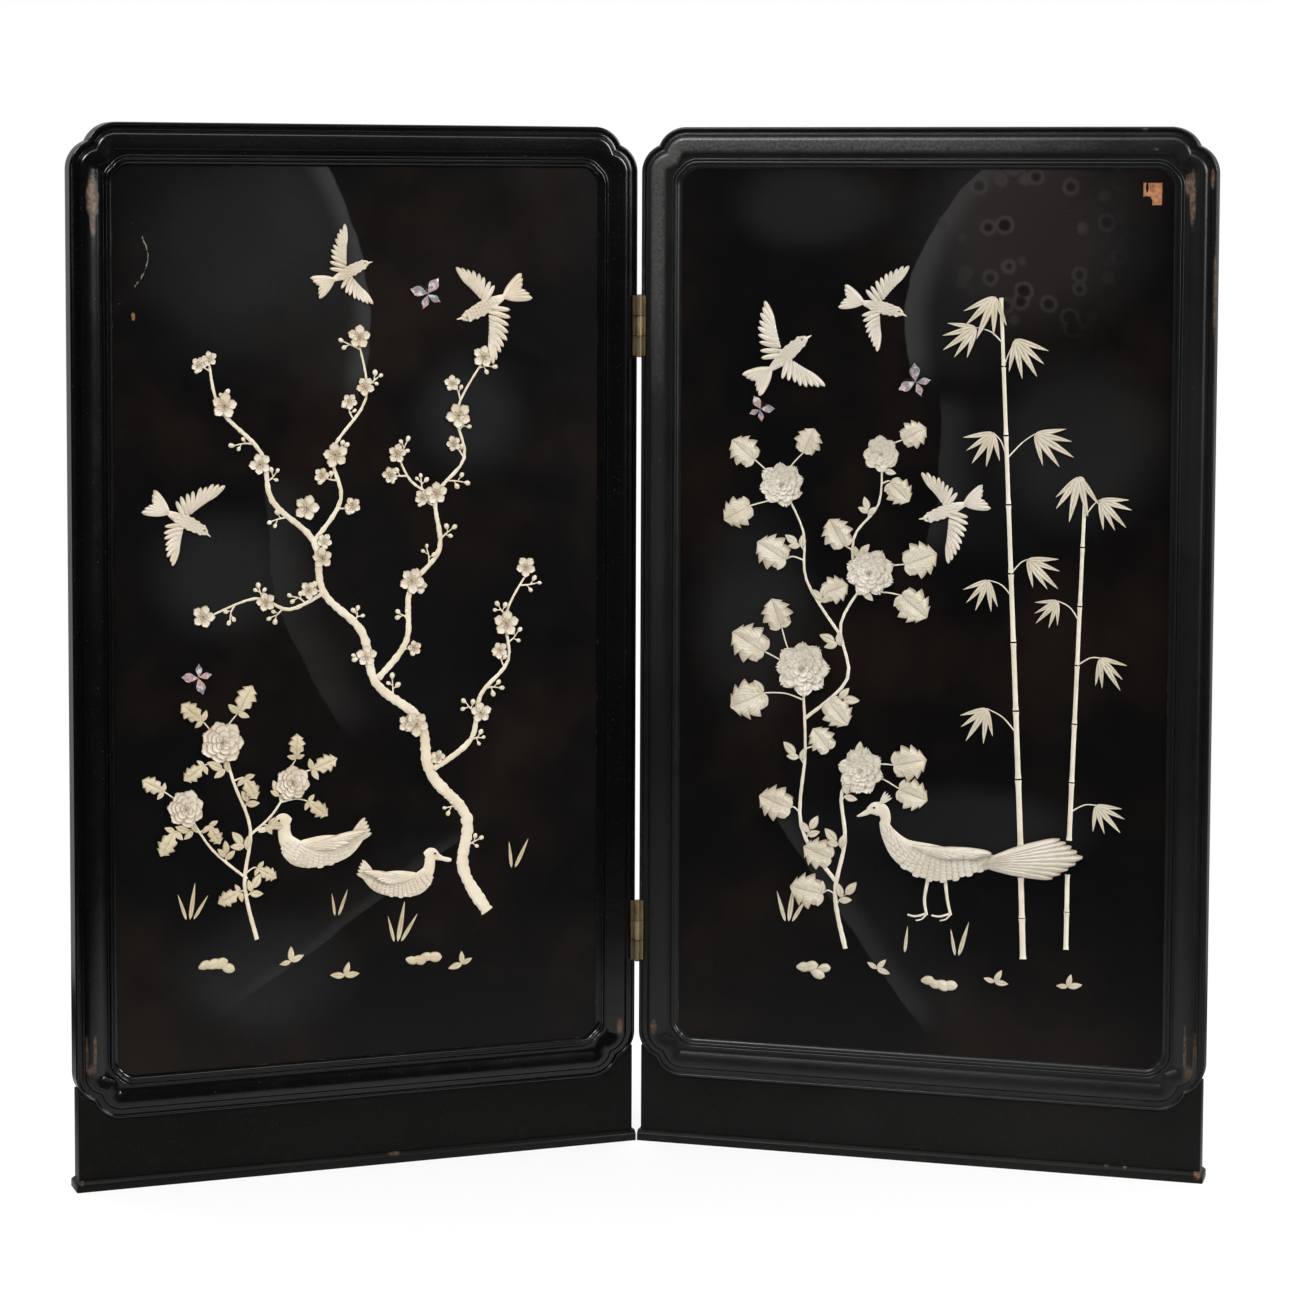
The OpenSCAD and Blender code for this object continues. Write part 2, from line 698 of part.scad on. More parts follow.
// Each culm is [foot, head, width at the foot, number of joints]
culms = [
    [[176, -560], [171, -424], 15, 2], [[170, -376], [128, 520], 14.5, 8],
    [[246, -540], [247, -415], 12, 2], [[249, -350], [268, 214], 12, 6]
];
bamboo_sprays = [
    [118, 520, 250, 1], [88, 470, 214, 0.9], [152, 452, 300, 1], [186, 300, 330, 1], [118, 300, 236, 0.9],
    [176, 96, 322, 0.9], [112, 60, 250, 0.8], [258, 232, 262, 1], [292, 196, 318, 0.9], [226, 30, 228, 0.7],
    [296, -60, 300, 0.8], [112, -150, 240, 0.9], [292, -300, 310, 0.8]
];
pheasant_outline = [
    [-124, 60], [-106, 70], [-96, 82], [-80, 86], [-66, 74], [-60, 54], [-32, 38], [18, 28], [62, 14],
    [110, 8], [180, 14], [256, 40], [190, -6], [110, -14], [64, -28], [16, -42], [-34, -38], [-68, -12],
    [-80, 22], [-92, 48], [-106, 54]
];
pheasant_place = [22, -400];
pheasant_legs = [
    [[[-4, -46], [-10, -70], [-6, -96]], 6, 4], [[[-6, -93], [-24, -99], [-38, -97]], 4, 3],
    [[[24, -43], [28, -68], [34, -94]], 6, 4], [[[34, -91], [16, -97], [2, -96]], 4, 3]
];
sparrows = [[-226, 420, 1, 40], [-70, 500, 0.86, 344], [42, 172, 0.9, 200]];
right_moths = [[-10, 380, 1, 60], [-270, 330, 0.8, 330]];
right_grass = [
    [-216, -520, 0.9, 82], [-222, -520, 0.7, 106], [-210, -520, 0.7, 60], [70, -560, 0.8, 74], [64, -560, 0.6, 100],
    [-20, -560, 0.6, 84]
];

module at(p) {
    translate([p[0], p[1]])
        rotate(p[3])
            children();
}

module rosettes(list, r, petals, share, grow) {
    for (p = list)
        at(p)
            rosette(r * p[2], petals, share, grow);
}

module strokes(list) {
    for (s = list)
        stroke(s[0], s[1], s[2]);
}

module broad_leaves(list, grow) {
    for (p = list)
        at(p)
            broad_leaf(broad_leaf_l * p[2], grow);
}

module blades(list) {
    for (p = list)
        at(p)
            pointed(bamboo_leaf_l * p[2], bamboo_leaf_l * p[2] / 9);
}

module left_flower_outlines(grow) {
    rosettes(plums, plum_r, 5, 0.44, grow);
    rosettes(camellias, camellia_r, 6, 0.4, grow);
}

module left_leaf_outlines(grow) {
    broad_leaves(camellia_leaves, grow);
}

module right_flower_outlines(grow) {
    rosettes(peonies, peony_r, 9, 0.3, grow);
}

module duck() {
    polygon(closed_curve(duck_outline, 4));
}

// A flying bird: body, two wings and a forked tail
module flying_bird(size) {
    translate([-40 * size, 0])
        pointed(80 * size, 24 * size);
    translate([-14 * size, 2 * size]) {
        rotate(62)
            pointed(70 * size, 24 * size);
        rotate(-28)
            translate([6 * size, 0])
                pointed(74 * size, 22 * size);
    }
    for (a = [152, 176])
        translate([(a - 172) * size, (164 - a) / 4 * size])
            rotate(a)
                pointed(46 * size, 9 * size);
}

module moth(size) {
    circle(2.5 * size);
    for (a = [34, 146])
        rotate(a)
            pointed(30 * size, 15 * size);
    for (a = [-48, 228])
        rotate(a)
            pointed(24 * size, 11 * size);
}

// A straight bamboo culm cut into joints, each a little narrower than the last
module culm(foot, head, w, joints) {
    along = head - foot;
    step = norm(along) / joints;
    translate(foot)
        rotate(atan2(along[1], along[0]))
            for (i = [0:joints - 1])
                translate([i * step, 0])
                    polygon([
                        [0, -joint_half(w, i)], [step - inlay_gap, -joint_half(w, i + 1)],
                        [step - inlay_gap, joint_half(w, i + 1)], [0, joint_half(w, i)]
                    ]);
}
function joint_half(w, i) = w * (1 - 0.05 * i) / 2;

// Three narrow leaves that fan out from one point
module bamboo_spray(p, grow) {
    translate([p[0], p[1]])
        for (i = [-1:1])
            rotate(p[2] + 24 * i)
                translate([4 - grow, 0])
                    pointed(bamboo_leaf_l * p[3] * (1 - 0.16 * abs(i)) + 2 * grow, 13 * p[3] + 2 * grow);
}

module right_leaf_outlines(grow) {
    broad_leaves(peony_leaves, grow);
    for (p = bamboo_sprays)
        bamboo_spray(p, grow);
}

// Sets inlay on the face of a picture board
module inlay(side) {
    translate([panel_w / 2, board_middle, -board_drop])
        mirror([side == "left" ? 1 : 0, 0, 0])
            linear_extrude(inlay_t)
                children();
}

module left_inlay_boughs() {
    color(bone)
        inlay("left")
            difference() {
                union() {
                    strokes(boughs);
                    strokes(camellia_stems);
                }
                left_flower_outlines(inlay_gap);
                left_leaf_outlines(inlay_gap);
            }
}

module left_inlay_blossoms() {
    color(bone)
        inlay("left")
            left_flower_outlines(0);
}

module left_inlay_leaves() {
    color(bone)
        inlay("left") {
            difference() {
                left_leaf_outlines(0);
                left_flower_outlines(inlay_gap);
            }
            blades(grass);
        }
}

module left_inlay_birds() {
    color(bone)
        inlay("left") {
            for (d = ducks)
                translate([d[0], d[1]])
                    mirror([d[4], 0])
                        scale(d[2])
                            duck();
            for (p = swallows)
                at(p)
                    flying_bird(p[2]);
        }
}

module left_inlay_pearl() {
    color(pearl)
        inlay("left")
            for (p = left_moths)
                at(p)
                    moth(p[2]);
}

module right_inlay_stems() {
    color(bone)
        inlay("right")
            difference() {
                union() {
                    strokes(peony_stems);
                    for (c = culms)
                        culm(c[0], c[1], c[2], c[3]);
                }
                right_flower_outlines(inlay_gap);
                right_leaf_outlines(inlay_gap);
            }
}

module right_inlay_blossoms() {
    color(bone)
        inlay("right")
            right_flower_outlines(0);
}

module right_inlay_leaves() {
    color(bone)
        inlay("right") {
            difference() {
                right_leaf_outlines(0);
                right_flower_outlines(inlay_gap);
            }
            blades(right_grass);
        }
}

module right_inlay_birds() {
    color(bone)
        inlay("right") {
            translate(pheasant_place) {
                polygon(closed_curve(pheasant_outline, 4));
                strokes(pheasant_legs);
            }
            for (p = sparrows)
                at(p)
                    flying_bird(p[2]);
        }
}

module right_inlay_pearl() {
    color(pearl)
        inlay("right")
            for (p = right_moths)
                at(p)
                    moth(p[2]);
}

on_left() top_rail();  // left_top_rail
on_left() bottom_rail();  // left_bottom_rail
on_left() outer_stile();  // left_outer_stile
on_left() hinge_stile();  // left_hinge_stile
on_left() picture_board();  // left_picture_board
on_left() back_board();  // left_back_board
on_left() core_battens();  // left_core_battens
on_left() mitre_keys();  // left_mitre_keys
on_left() apron();  // left_apron
on_left() apron_dowels();  // left_apron_dowels
on_left() plinth();  // left_plinth
on_left() plinth_screws();  // left_plinth_screws
on_left() hinge_screws();  // left_hinge_screws
on_right() top_rail();  // right_top_rail
on_right() bottom_rail();  // right_bottom_rail
on_right() outer_stile();  // right_outer_stile
on_right() hinge_stile();  // right_hinge_stile
on_right() picture_board();  // right_picture_board
on_right() back_board();  // right_back_board
on_right() core_battens();  // right_core_battens
on_right() mitre_keys();  // right_mitre_keys
on_right() apron();  // right_apron
on_right() apron_dowels();  // right_apron_dowels
on_right() plinth();  // right_plinth
on_right() plinth_screws();  // right_plinth_screws
on_right() hinge_screws();  // right_hinge_screws
on_left() hinge_leaf(hinge_heights[1], [0, 2], [1]);  // upper_hinge_left_leaf
on_right() hinge_leaf(hinge_heights[1], [1], [0, 2]);  // upper_hinge_right_leaf
on_left() hinge_pin(hinge_heights[1]);  // upper_hinge_pin
on_left() hinge_leaf(hinge_heights[0], [0, 2], [1]);  // lower_hinge_left_leaf
on_right() hinge_leaf(hinge_heights[0], [1], [0, 2]);  // lower_hinge_right_leaf
on_left() hinge_pin(hinge_heights[0]);  // lower_hinge_pin
on_left() left_inlay_boughs();
on_left() left_inlay_blossoms();
on_left() left_inlay_leaves();
on_left() left_inlay_birds();
on_left() left_inlay_pearl();
on_right() right_inlay_stems();
on_right() right_inlay_blossoms();
on_right() right_inlay_leaves();
on_right() right_inlay_birds();
on_right() right_inlay_pearl();
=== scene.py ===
# %% [markdown]
# A folding screen in two hinged panels. Each panel is a lacquered picture board in a moulded frame
# whose corners are lobed, standing on an apron and a low plinth, with carved bone laid on the board.
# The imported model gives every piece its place, in metres, so the scene starts from that frame and
# dresses it: long mouldings, carving and finishes are made here, at the places the frame gives.
# Sizes below are written in millimetres, as a joiner would, and turned into metres at the end.

# %% Load the frame
import bpy
import bmesh
import json
import random
from math import acos, asin, atan2, cos, degrees, dist, exp, hypot, log, pi, radians, sin, sqrt
from mathutils import Matrix, Vector


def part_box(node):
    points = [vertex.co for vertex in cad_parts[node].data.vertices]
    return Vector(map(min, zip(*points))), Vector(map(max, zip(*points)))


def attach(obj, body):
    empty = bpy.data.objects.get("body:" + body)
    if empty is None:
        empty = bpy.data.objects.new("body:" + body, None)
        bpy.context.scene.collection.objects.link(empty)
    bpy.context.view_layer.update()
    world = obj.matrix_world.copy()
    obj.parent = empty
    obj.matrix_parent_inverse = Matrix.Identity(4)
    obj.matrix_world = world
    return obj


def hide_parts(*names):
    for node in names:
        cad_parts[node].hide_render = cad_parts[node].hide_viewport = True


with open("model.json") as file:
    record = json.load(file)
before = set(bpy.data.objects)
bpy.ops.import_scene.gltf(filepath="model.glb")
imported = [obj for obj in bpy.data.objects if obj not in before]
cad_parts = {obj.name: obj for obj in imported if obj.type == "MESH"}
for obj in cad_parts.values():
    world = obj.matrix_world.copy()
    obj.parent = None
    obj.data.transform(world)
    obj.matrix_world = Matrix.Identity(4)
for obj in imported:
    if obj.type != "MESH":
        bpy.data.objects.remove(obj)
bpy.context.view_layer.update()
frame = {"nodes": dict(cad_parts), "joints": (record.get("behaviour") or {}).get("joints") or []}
nodes = frame["nodes"]

# %% Sizes of the screen, in millimetres
MM = 0.001
PANEL_W, SCREEN_H = 945.0, 1700.0
FRAME_T, RAIL_W = 42.0, 68.0
LOBE_R, LOBE_TURN = 48.5, 67.4
OPENING_R, OPENING_TURN = 20.0, 60
PLINTH_H, APRON_H = 18.0, 95.0
PLINTH_OUT, PLINTH_FRONT, PLINTH_BACK, CHAMFER = 1.0, 1.0, 7.0, 6.0
APRON_IN, APRON_DROP, EAR_TIP = 4.0, 6.0, 3.0
FRAME_Z = PLINTH_H + APRON_H
FRAME_H = SCREEN_H - FRAME_Z
BOARD_DROP, BOARD_T = 10.0, 9.0
PIN_GAP, PIN_PROUD = 1.5, 1.5
HINGE_H, HINGE_Z = 100.0, (358.0, SCREEN_H - 328.0)
LEAF_T, LEAF_DEPTH, LEAF_LIP_W, LEAF_FIT = 3.0, 27.0, 7.2, 0.1
YAW = radians(17.8)
PIN_Y = frame["joints"][0]["pos_m"][1]
SIDES = {"left": -1, "right": 1}
print("hinge pin at y", PIN_Y)

# %% [markdown]
# Both panels are made in the same way, so they are drawn once, flat, as seen from the front: x to
# the viewer's right from the hinged edge, y up, z forward. A matrix then stands each drawing up at
# its angle to the pin. Using one matrix per panel keeps every piece of it in line by itself.

# %% Where each panel stands
def panel_matrix(side):
    s = SIDES[side]
    across = Vector((cos(YAW), -s * sin(YAW), 0))
    forward = Vector((-s * sin(YAW), -cos(YAW), 0))
    start = Vector((0, PIN_Y, 0)) + (s * PIN_GAP * across - PIN_PROUD * forward) * MM
    return Matrix.Translation(start) @ Matrix((
        (across.x, 0, forward.x, 0), (across.y, 0, forward.y, 0), (0, 1, 0, 0), (0, 0, 0, 1))) @ Matrix.Scale(MM, 4)


def board_matrix(side):
    """From the middle of the picture board's face."""
    return panel_matrix(side) @ Matrix.Translation(
        (SIDES[side] * PANEL_W / 2, FRAME_Z + FRAME_H / 2, -BOARD_DROP))


for name in SIDES:
    low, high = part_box(name + "_picture_board")
    centre = board_matrix(name) @ Vector((0, 0, -BOARD_T / 2))
    print(name, "board centre off by", round((centre - (Vector(low) + Vector(high)) / 2).length * 1000, 3), "mm")

# %% [markdown]
# A finish is a small network of nodes. Writing it as plain sums makes it readable, so one class
# wraps a socket and turns +, -, * and / into Math nodes, and one method adds any other node.

# %% Node arithmetic
class Wire:
    """An output socket that can be used in sums."""

    def __init__(self, bench, socket):
        self.bench, self.socket = bench, socket

    def __add__(self, other): return self.bench.math("ADD", self, other)
    def __radd__(self, other): return self.bench.math("ADD", other, self)
    def __sub__(self, other): return self.bench.math("SUBTRACT", self, other)
    def __rsub__(self, other): return self.bench.math("SUBTRACT", other, self)
    def __mul__(self, other): return self.bench.math("MULTIPLY", self, other)
    def __rmul__(self, other): return self.bench.math("MULTIPLY", other, self)
    def __truediv__(self, other): return self.bench.math("DIVIDE", self, other)
    def __rtruediv__(self, other): return self.bench.math("DIVIDE", other, self)
    def __neg__(self): return self.bench.math("MULTIPLY", self, -1.0)
    def __pow__(self, other): return self.bench.math("POWER", self, other)
    def __abs__(self): return self.bench.math("ABSOLUTE", self, 0.0)


class Bench:
    """Adds nodes to one tree."""

    def __init__(self, tree):
        self.tree = tree

    def plug(self, value, socket):
        if isinstance(value, Wire):
            self.tree.links.new(value.socket, socket)
        else:
            socket.default_value = value

    def add(self, kind, settings=None, sockets=None, out=0):
        node = self.tree.nodes.new(kind)
        for key, value in (settings or {}).items():
            setattr(node, key, value)
        for key, value in (sockets or {}).items():
            self.plug(value, node.inputs[key])
        return Wire(self, node.outputs[out])

    def math(self, operation, a, b=0.0):
        return self.add("ShaderNodeMath", {"operation": operation}, {0: a, 1: b})

    def clamp(self, a):
        return self.add("ShaderNodeClamp", None, {0: a})

    def ramp(self, value, low, high):
        """0 below low, 1 above high, smooth between."""
        return self.add("ShaderNodeMapRange", {"interpolation_type": "SMOOTHSTEP"},
                        {"Value": value, "From Min": low, "From Max": high})

    def blend(self, factor, a, b):
        paint = lambda c: (*c, 1.0) if isinstance(c, tuple) and len(c) == 3 else c
        return self.add("ShaderNodeMix", {"data_type": "RGBA"}, {0: factor, 6: paint(a), 7: paint(b)}, out=2)

    def coords(self):
        return self.add("ShaderNodeTexCoord", out=3)

    def edges(self, low, high):
        """0 in hollows and 1 on edges, by the pointiness of the surface."""
        return self.ramp(self.add("ShaderNodeNewGeometry", out=7), low, high)

    def vector(self, x, y, z):
        return self.add("ShaderNodeCombineXYZ", None, {0: x, 1: y, 2: z})

    def rays(self):
        """Light Path: what the camera sees, straight or through glass, and what a gloss mirrors."""
        path = self.add("ShaderNodeLightPath").socket.node.outputs
        seen = self.math("MAXIMUM", *(Wire(self, path[f"Is {kind} Ray"]) for kind in ("Camera", "Transmission")))
        return seen, Wire(self, path["Is Glossy Ray"])

    def noise(self, place, scale, detail=3.0, roughness=0.5, distortion=0.0):
        return self.add("ShaderNodeTexNoise", None, {
            "Vector": place, "Scale": scale, "Detail": detail, "Roughness": roughness, "Distortion": distortion})

    def cells(self, place, scale):
        return self.add("ShaderNodeTexVoronoi", None, {"Vector": place, "Scale": scale})


def srgb(r, g, b):
    """A colour as a screen shows it, 0 to 255, made linear."""
    return tuple((c / 255 / 12.92) if c < 10.3 else ((c / 255 + 0.055) / 1.055) ** 2.4 for c in (r, g, b))


def finish_of(name, build):
    """A material whose nodes are added by build(bench), which returns the shader's sockets and bump."""
    material = bpy.data.materials.new(name)
    material.use_nodes = True
    bench = Bench(material.node_tree)
    shader = material.node_tree.nodes["Principled BSDF"]
    sockets, bumps = build(bench)
    normal = None
    for height, strength, distance in bumps:
        inputs = {"Height": height, "Strength": strength, "Distance": distance}
        if normal is not None:
            inputs["Normal"] = normal
        normal = bench.add("ShaderNodeBump", None, inputs)
    if normal is not None:
        sockets["Normal"] = normal
    for key, value in sockets.items():
        bench.plug((*value, 1.0) if isinstance(value, tuple) and len(value) == 3 else value, shader.inputs[key])
    return material

# %% [markdown]
# The finishes differ between the panels, because the real ones have aged apart: one frame is still
# glossy black, the other has gone satin and slightly leathery. Patterns are laid out in the
# panel's own directions, so each finish starts from a Mapping node that turns the room into the panel.

# %% Finishes of the lacquer
def panel_place(bench, side):
    """Object coordinates turned so that x runs across the panel from its hinged edge, z up."""
    s = SIDES[side]
    turn = Matrix.Rotation(s * YAW, 3, "Z")
    start = turn @ panel_matrix(side).to_translation()
    return bench.add("ShaderNodeMapping", None, {
        "Vector": bench.coords(), "Rotation": (0, 0, s * YAW), "Location": (-start.x, -start.y, 0)})


def split(bench, vector):
    node = bench.add("ShaderNodeSeparateXYZ", None, {0: vector})
    return [Wire(bench, node.socket.node.outputs[i]) for i in range(3)]


def spot(bench, x, z, at, size, ragged, soft=0.35):
    """1 inside an ellipse at a place on the panel, its edge broken by the ragged noise."""
    dx, dz = (x - at[0] * MM) / (size[0] * MM), (z - at[1] * MM) / (size[1] * MM)
    far = bench.math("SQRT", dx * dx + dz * dz) + (ragged - 0.5) * 1.1
    return 1.0 - bench.ramp(far, 1.0 - soft, 1.0 + soft)


GLOSSY = 0.3


def lacquer(name, side, colour, haze, rough, orange_peel, wear, gloss, painted_sheen=()):
    """wear: (place, half size, strength) of rubbed spots, in mm on the panel; the last argument gives the same for grey
    patches of painted sheen, a reflection painted on the proud roll.
    """
    def build(b):
        place = panel_place(b, side)
        x, y, z = split(b, place)
        fine = b.noise(place, 90.0, 4.0, 0.6)
        dust = b.ramp(b.noise(place, 420.0, 2.0, 0.5), 0.66, 0.78)
        sheen_edge_noise = b.noise(place, 5.0, 4.0, 0.6)
        smear = b.noise(place, 7.0, 3.0, 0.5, 1.4)
        leather = b.ramp(b.noise(place, 210.0, 3.0, 0.6), 0.32, 0.68)
        proud, forward = 1.0 - b.ramp(y, 0.0012, 0.0045), 1.0 - b.ramp(y, 0.026, 0.036)
        colour_now = b.blend(b.ramp(b.noise(place, 2.2, 4.0, 0.55), 0.35, 0.75), colour, haze)
        # Painted sheen: grey patches, mottled and kept to the proud roll, stand in for light reflected by the lacquer.
        for at, size, level in painted_sheen:
            grey = spot(b, x, z, at, size, sheen_edge_noise, 0.6) * proud * level * (0.5 + leather * 0.7)
            colour_now = b.blend(b.clamp(grey), colour_now, srgb(78, 77, 76))
        edge = b.edges(0.53, 0.60) * (0.15 + forward * 0.85)
        nicked = edge * b.ramp(b.noise(place, 38.0, 5.0, 0.7), 0.56, 0.68) * (1.0 if wear else 0.12)
        colour_now = b.blend(nicked * 0.8, colour_now, srgb(86, 66, 50))
        roughness = rough + (smear - 0.5) * 0.16 + fine * 0.05 + dust * 0.2 + nicked * 0.3
        if wear:
            rub, ragged = 0.0, b.noise(place, 60.0, 5.0, 0.65)
            for at, size, strength in wear:
                rub = b.math("MAXIMUM", spot(b, x, z, at, size, ragged) * strength, rub)
            rub = rub * forward
            worn = b.blend(b.ramp(b.noise(place, 130.0, 3.0, 0.6), 0.35, 0.7), srgb(66, 50, 38), srgb(126, 98, 76))
            colour_now = b.blend(rub * 0.85, colour_now, worn)
            roughness = roughness + rub * 0.25
        colour_now = b.blend(dust * 0.16, colour_now, srgb(120, 118, 114))
        return ({"Base Color": colour_now, "Roughness": b.clamp(roughness), "IOR": 1.5,
                 "Specular IOR Level": gloss},
                [(b.noise(place, orange_peel, 3.0, 0.5), 0.16 if rough < GLOSSY else 0.34, 0.0006),
                 (fine, 0.08, 0.0003)])
    return finish_of(name, build)


FRAME_WEAR = {
    "left": [((-909, 1582), (9, 32), 1.0), ((-909, 1560), (5, 36), 0.8), ((-915, 222), (3, 30), 0.5),
             ((-928, 220), (2.4, 30), 0.45), ((-921, 196), (8, 8), 0.4), ((-28, 198), (5, 14), 0.5)],
    "right": [((906, 1586), (5, 40), 0.9), ((901, 1606), (7, 16), 1.0), ((937, 1618), (3, 14), 0.9),
              ((914, 214), (2.4, 40), 0.5), ((930, 206), (3, 34), 0.4), ((920, 178), (9, 12), 0.4),
              ((27, 196), (5, 12), 0.5), ((943, 1440), (3, 60), 0.5), ((830, 1695.5), (5, 2.5), 1.0),
              ((848, 1664), (3, 2), 1.0)],
}
# Painted sheen: grey patches on the top rails and on the right panel's hinged stile that stand in for reflected light,
# as (place, half size, strength) in mm.
LEFT_PAINTED_SHEEN = [((-480, 1672), (460, 30), 0.06)]
RIGHT_PAINTED_SHEEN = [((280, 1672), (420, 40), 0.8), ((36, 1600), (46, 240), 0.6), ((36, 1150), (40, 330), 0.1)]
frame_finish = {
    "left": lacquer("lacquer_gloss", "left", srgb(3, 3, 3), srgb(8, 8, 8), 0.16, 55.0,
                    FRAME_WEAR["left"], 0.42, LEFT_PAINTED_SHEEN),
    "right": lacquer("lacquer_satin", "right", srgb(12, 12, 12), srgb(20, 20, 19), 0.32, 240.0,
                     FRAME_WEAR["right"], 0.42, RIGHT_PAINTED_SHEEN),
}
APRON_BLACK = {"left": (srgb(9, 9, 8), srgb(16, 15, 14)), "right": (srgb(16, 16, 15), srgb(24, 23, 22))}
PLINTH_WEAR = {"left": [((-938, 20), (4, 9), 0.5), ((-420, 16), (9, 3), 0.4)],
               "right": [((937, 22), (6, 14), 0.9), ((790, 18), (4, 3), 1.0), ((820, 17), (3, 2), 0.9),
                         ((858, 40), (7, 2), 0.6)]}
apron_finish = {
    side: lacquer("lacquer_apron_" + side, side, *APRON_BLACK[side], 0.38, 130.0, [], 0.09) for side in SIDES
}
plinth_finish = {
    side: lacquer("lacquer_plinth_" + side, side, *APRON_BLACK[side], 0.34, 130.0, PLINTH_WEAR[side], 0.16)
    for side in SIDES
}


def painted_reflection_band(b, x, z, wobble, edge, at, lean, bend, way, low, high, fade):
    """A painted reflection: a pale band, crisp along a curved edge, and fading away to one side of it."""
    up = z - at
    inward = (x - (up * lean + up * up * bend + edge) + wobble) * way
    body = b.ramp(inward, 0.0, 0.004) * (1.0 - 0.8 * b.ramp(inward, 0.008, fade))
    body = body * (1.0 - b.ramp(inward, fade, 3.5 * fade))
    return body * b.ramp(z, low, low + 0.07) * (1.0 - b.ramp(z, high - 0.05, high))


# Painted reflections of the room, as pale bands on the boards: each as the numbers that the band function takes, then
# its strength.
PAINTED_REFLECTION_BANDS = {
    "left": [(-0.455, 1.385, 0.0, -1.15, -1, 1.24, 1.67, 0.045, 0.8),
             (-0.442, 0.437, 1.5, 0.0, -1, 0.26, 0.56, 0.05, 0.35),
             (-0.60, 0.9, -0.35, 0.9, 1, 0.7, 1.15, 0.09, 0.25)],
    "right": [(0.438, 1.385, 0.0, 2.1, 1, 1.27, 1.67, 0.06, 0.85),
              (0.326, 0.426, -0.744, 0.0, 1, 0.2, 0.6, 0.06, 0.4),
              (0.50, 1.13, 0.1, -0.8, 1, 0.98, 1.28, 0.07, 0.35)],
}
# Painted reflections, as cloudy grey patches of the boards: place and half size, in mm on the panel.
BOARD_PAINTED_REFLECTIONS = {
    "left": [((-660, 1500), (150, 160)), ((-290, 1230), (80, 80)), ((-700, 980), (110, 90)), ((-640, 330), (120, 90))],
    "right": [((640, 1530), (170, 130)), ((740, 1180), (110, 120)), ((560, 560), (150, 50)), ((200, 900), (90, 160)),
              ((290, 1570), (110, 60))],
}


def blistered(b, x, z, place, colour_now, ragged, front):
    """Blisters are dark discs in pale rings, on a slightly redder ground."""
    swirl = b.noise(place, 16.0, 2.0, 0.5, 0.6)
    rings = b.cells(place, 26.0) + (swirl - 0.5) * 0.3
    ring = b.ramp(rings, 0.24, 0.3) * (1.0 - b.ramp(rings, 0.34, 0.46))
    where = spot(b, x, z, (640, 1530), (115, 140), ragged, 0.6) * front
    colour_now = b.blend(where * 0.35, colour_now, srgb(44, 33, 30))
    colour_now = b.blend(ring * where * 0.5, colour_now, srgb(58, 56, 54))
    colour_now = b.blend((1.0 - b.ramp(rings, 0.16, 0.27)) * where * 0.7, colour_now, srgb(10, 8, 8))
    return colour_now, (ring * where, 0.3, 0.0004)


def flaked(b, x, z, place, colour_now, front):
    """A patch of bare ground where lacquer has come off, with two bites out of its edge."""
    broken = (b.noise(place, 110.0, 3.0, 0.7) - 0.5) * 0.9
    inside = b.math("MAXIMUM", abs(x - 0.842) / 0.0155, abs(z - 1.593) / 0.0185) + broken * 0.35
    lost = (1.0 - b.ramp(inside, 0.9, 1.0)) * front
    for at, size, soft in (((833, 1581), (8, 9), 0.1), ((833, 1603), (2.2, 9), 0.15)):
        lost = lost * (1.0 - spot(b, x, z, at, size, b.noise(place, 90.0, 2.0, 0.5), soft))
    return b.blend(lost, colour_now, b.blend(b.ramp(broken, -0.16, 0.16), srgb(130, 84, 56), srgb(182, 130, 94)))


def scratched(b, x, z, place, colour_now, front):
    """A thin curved scratch, broken along its length, and a chip below it."""
    wander = (b.noise(place, 26.0, 3.0, 0.6) - 0.5) * 0.012
    up = z - 1.49
    scratch = b.math("MAXIMUM", abs(x + 0.822 + up * up * 8.0 + wander) / 0.0013, abs(z - 1.482) / 0.042)
    scratch = scratch + (b.noise(place, 150.0, 3.0, 0.6) - 0.44) * 4.0
    chip = spot(b, x, z, (-844, 1394), (3, 6), b.noise(place, 120.0, 3.0, 0.6), 0.15) * front
    colour_now = b.blend((1.0 - b.ramp(scratch, 0.8, 1.2)) * front, colour_now, srgb(108, 102, 94))
    return b.blend(chip, colour_now, srgb(112, 86, 62))


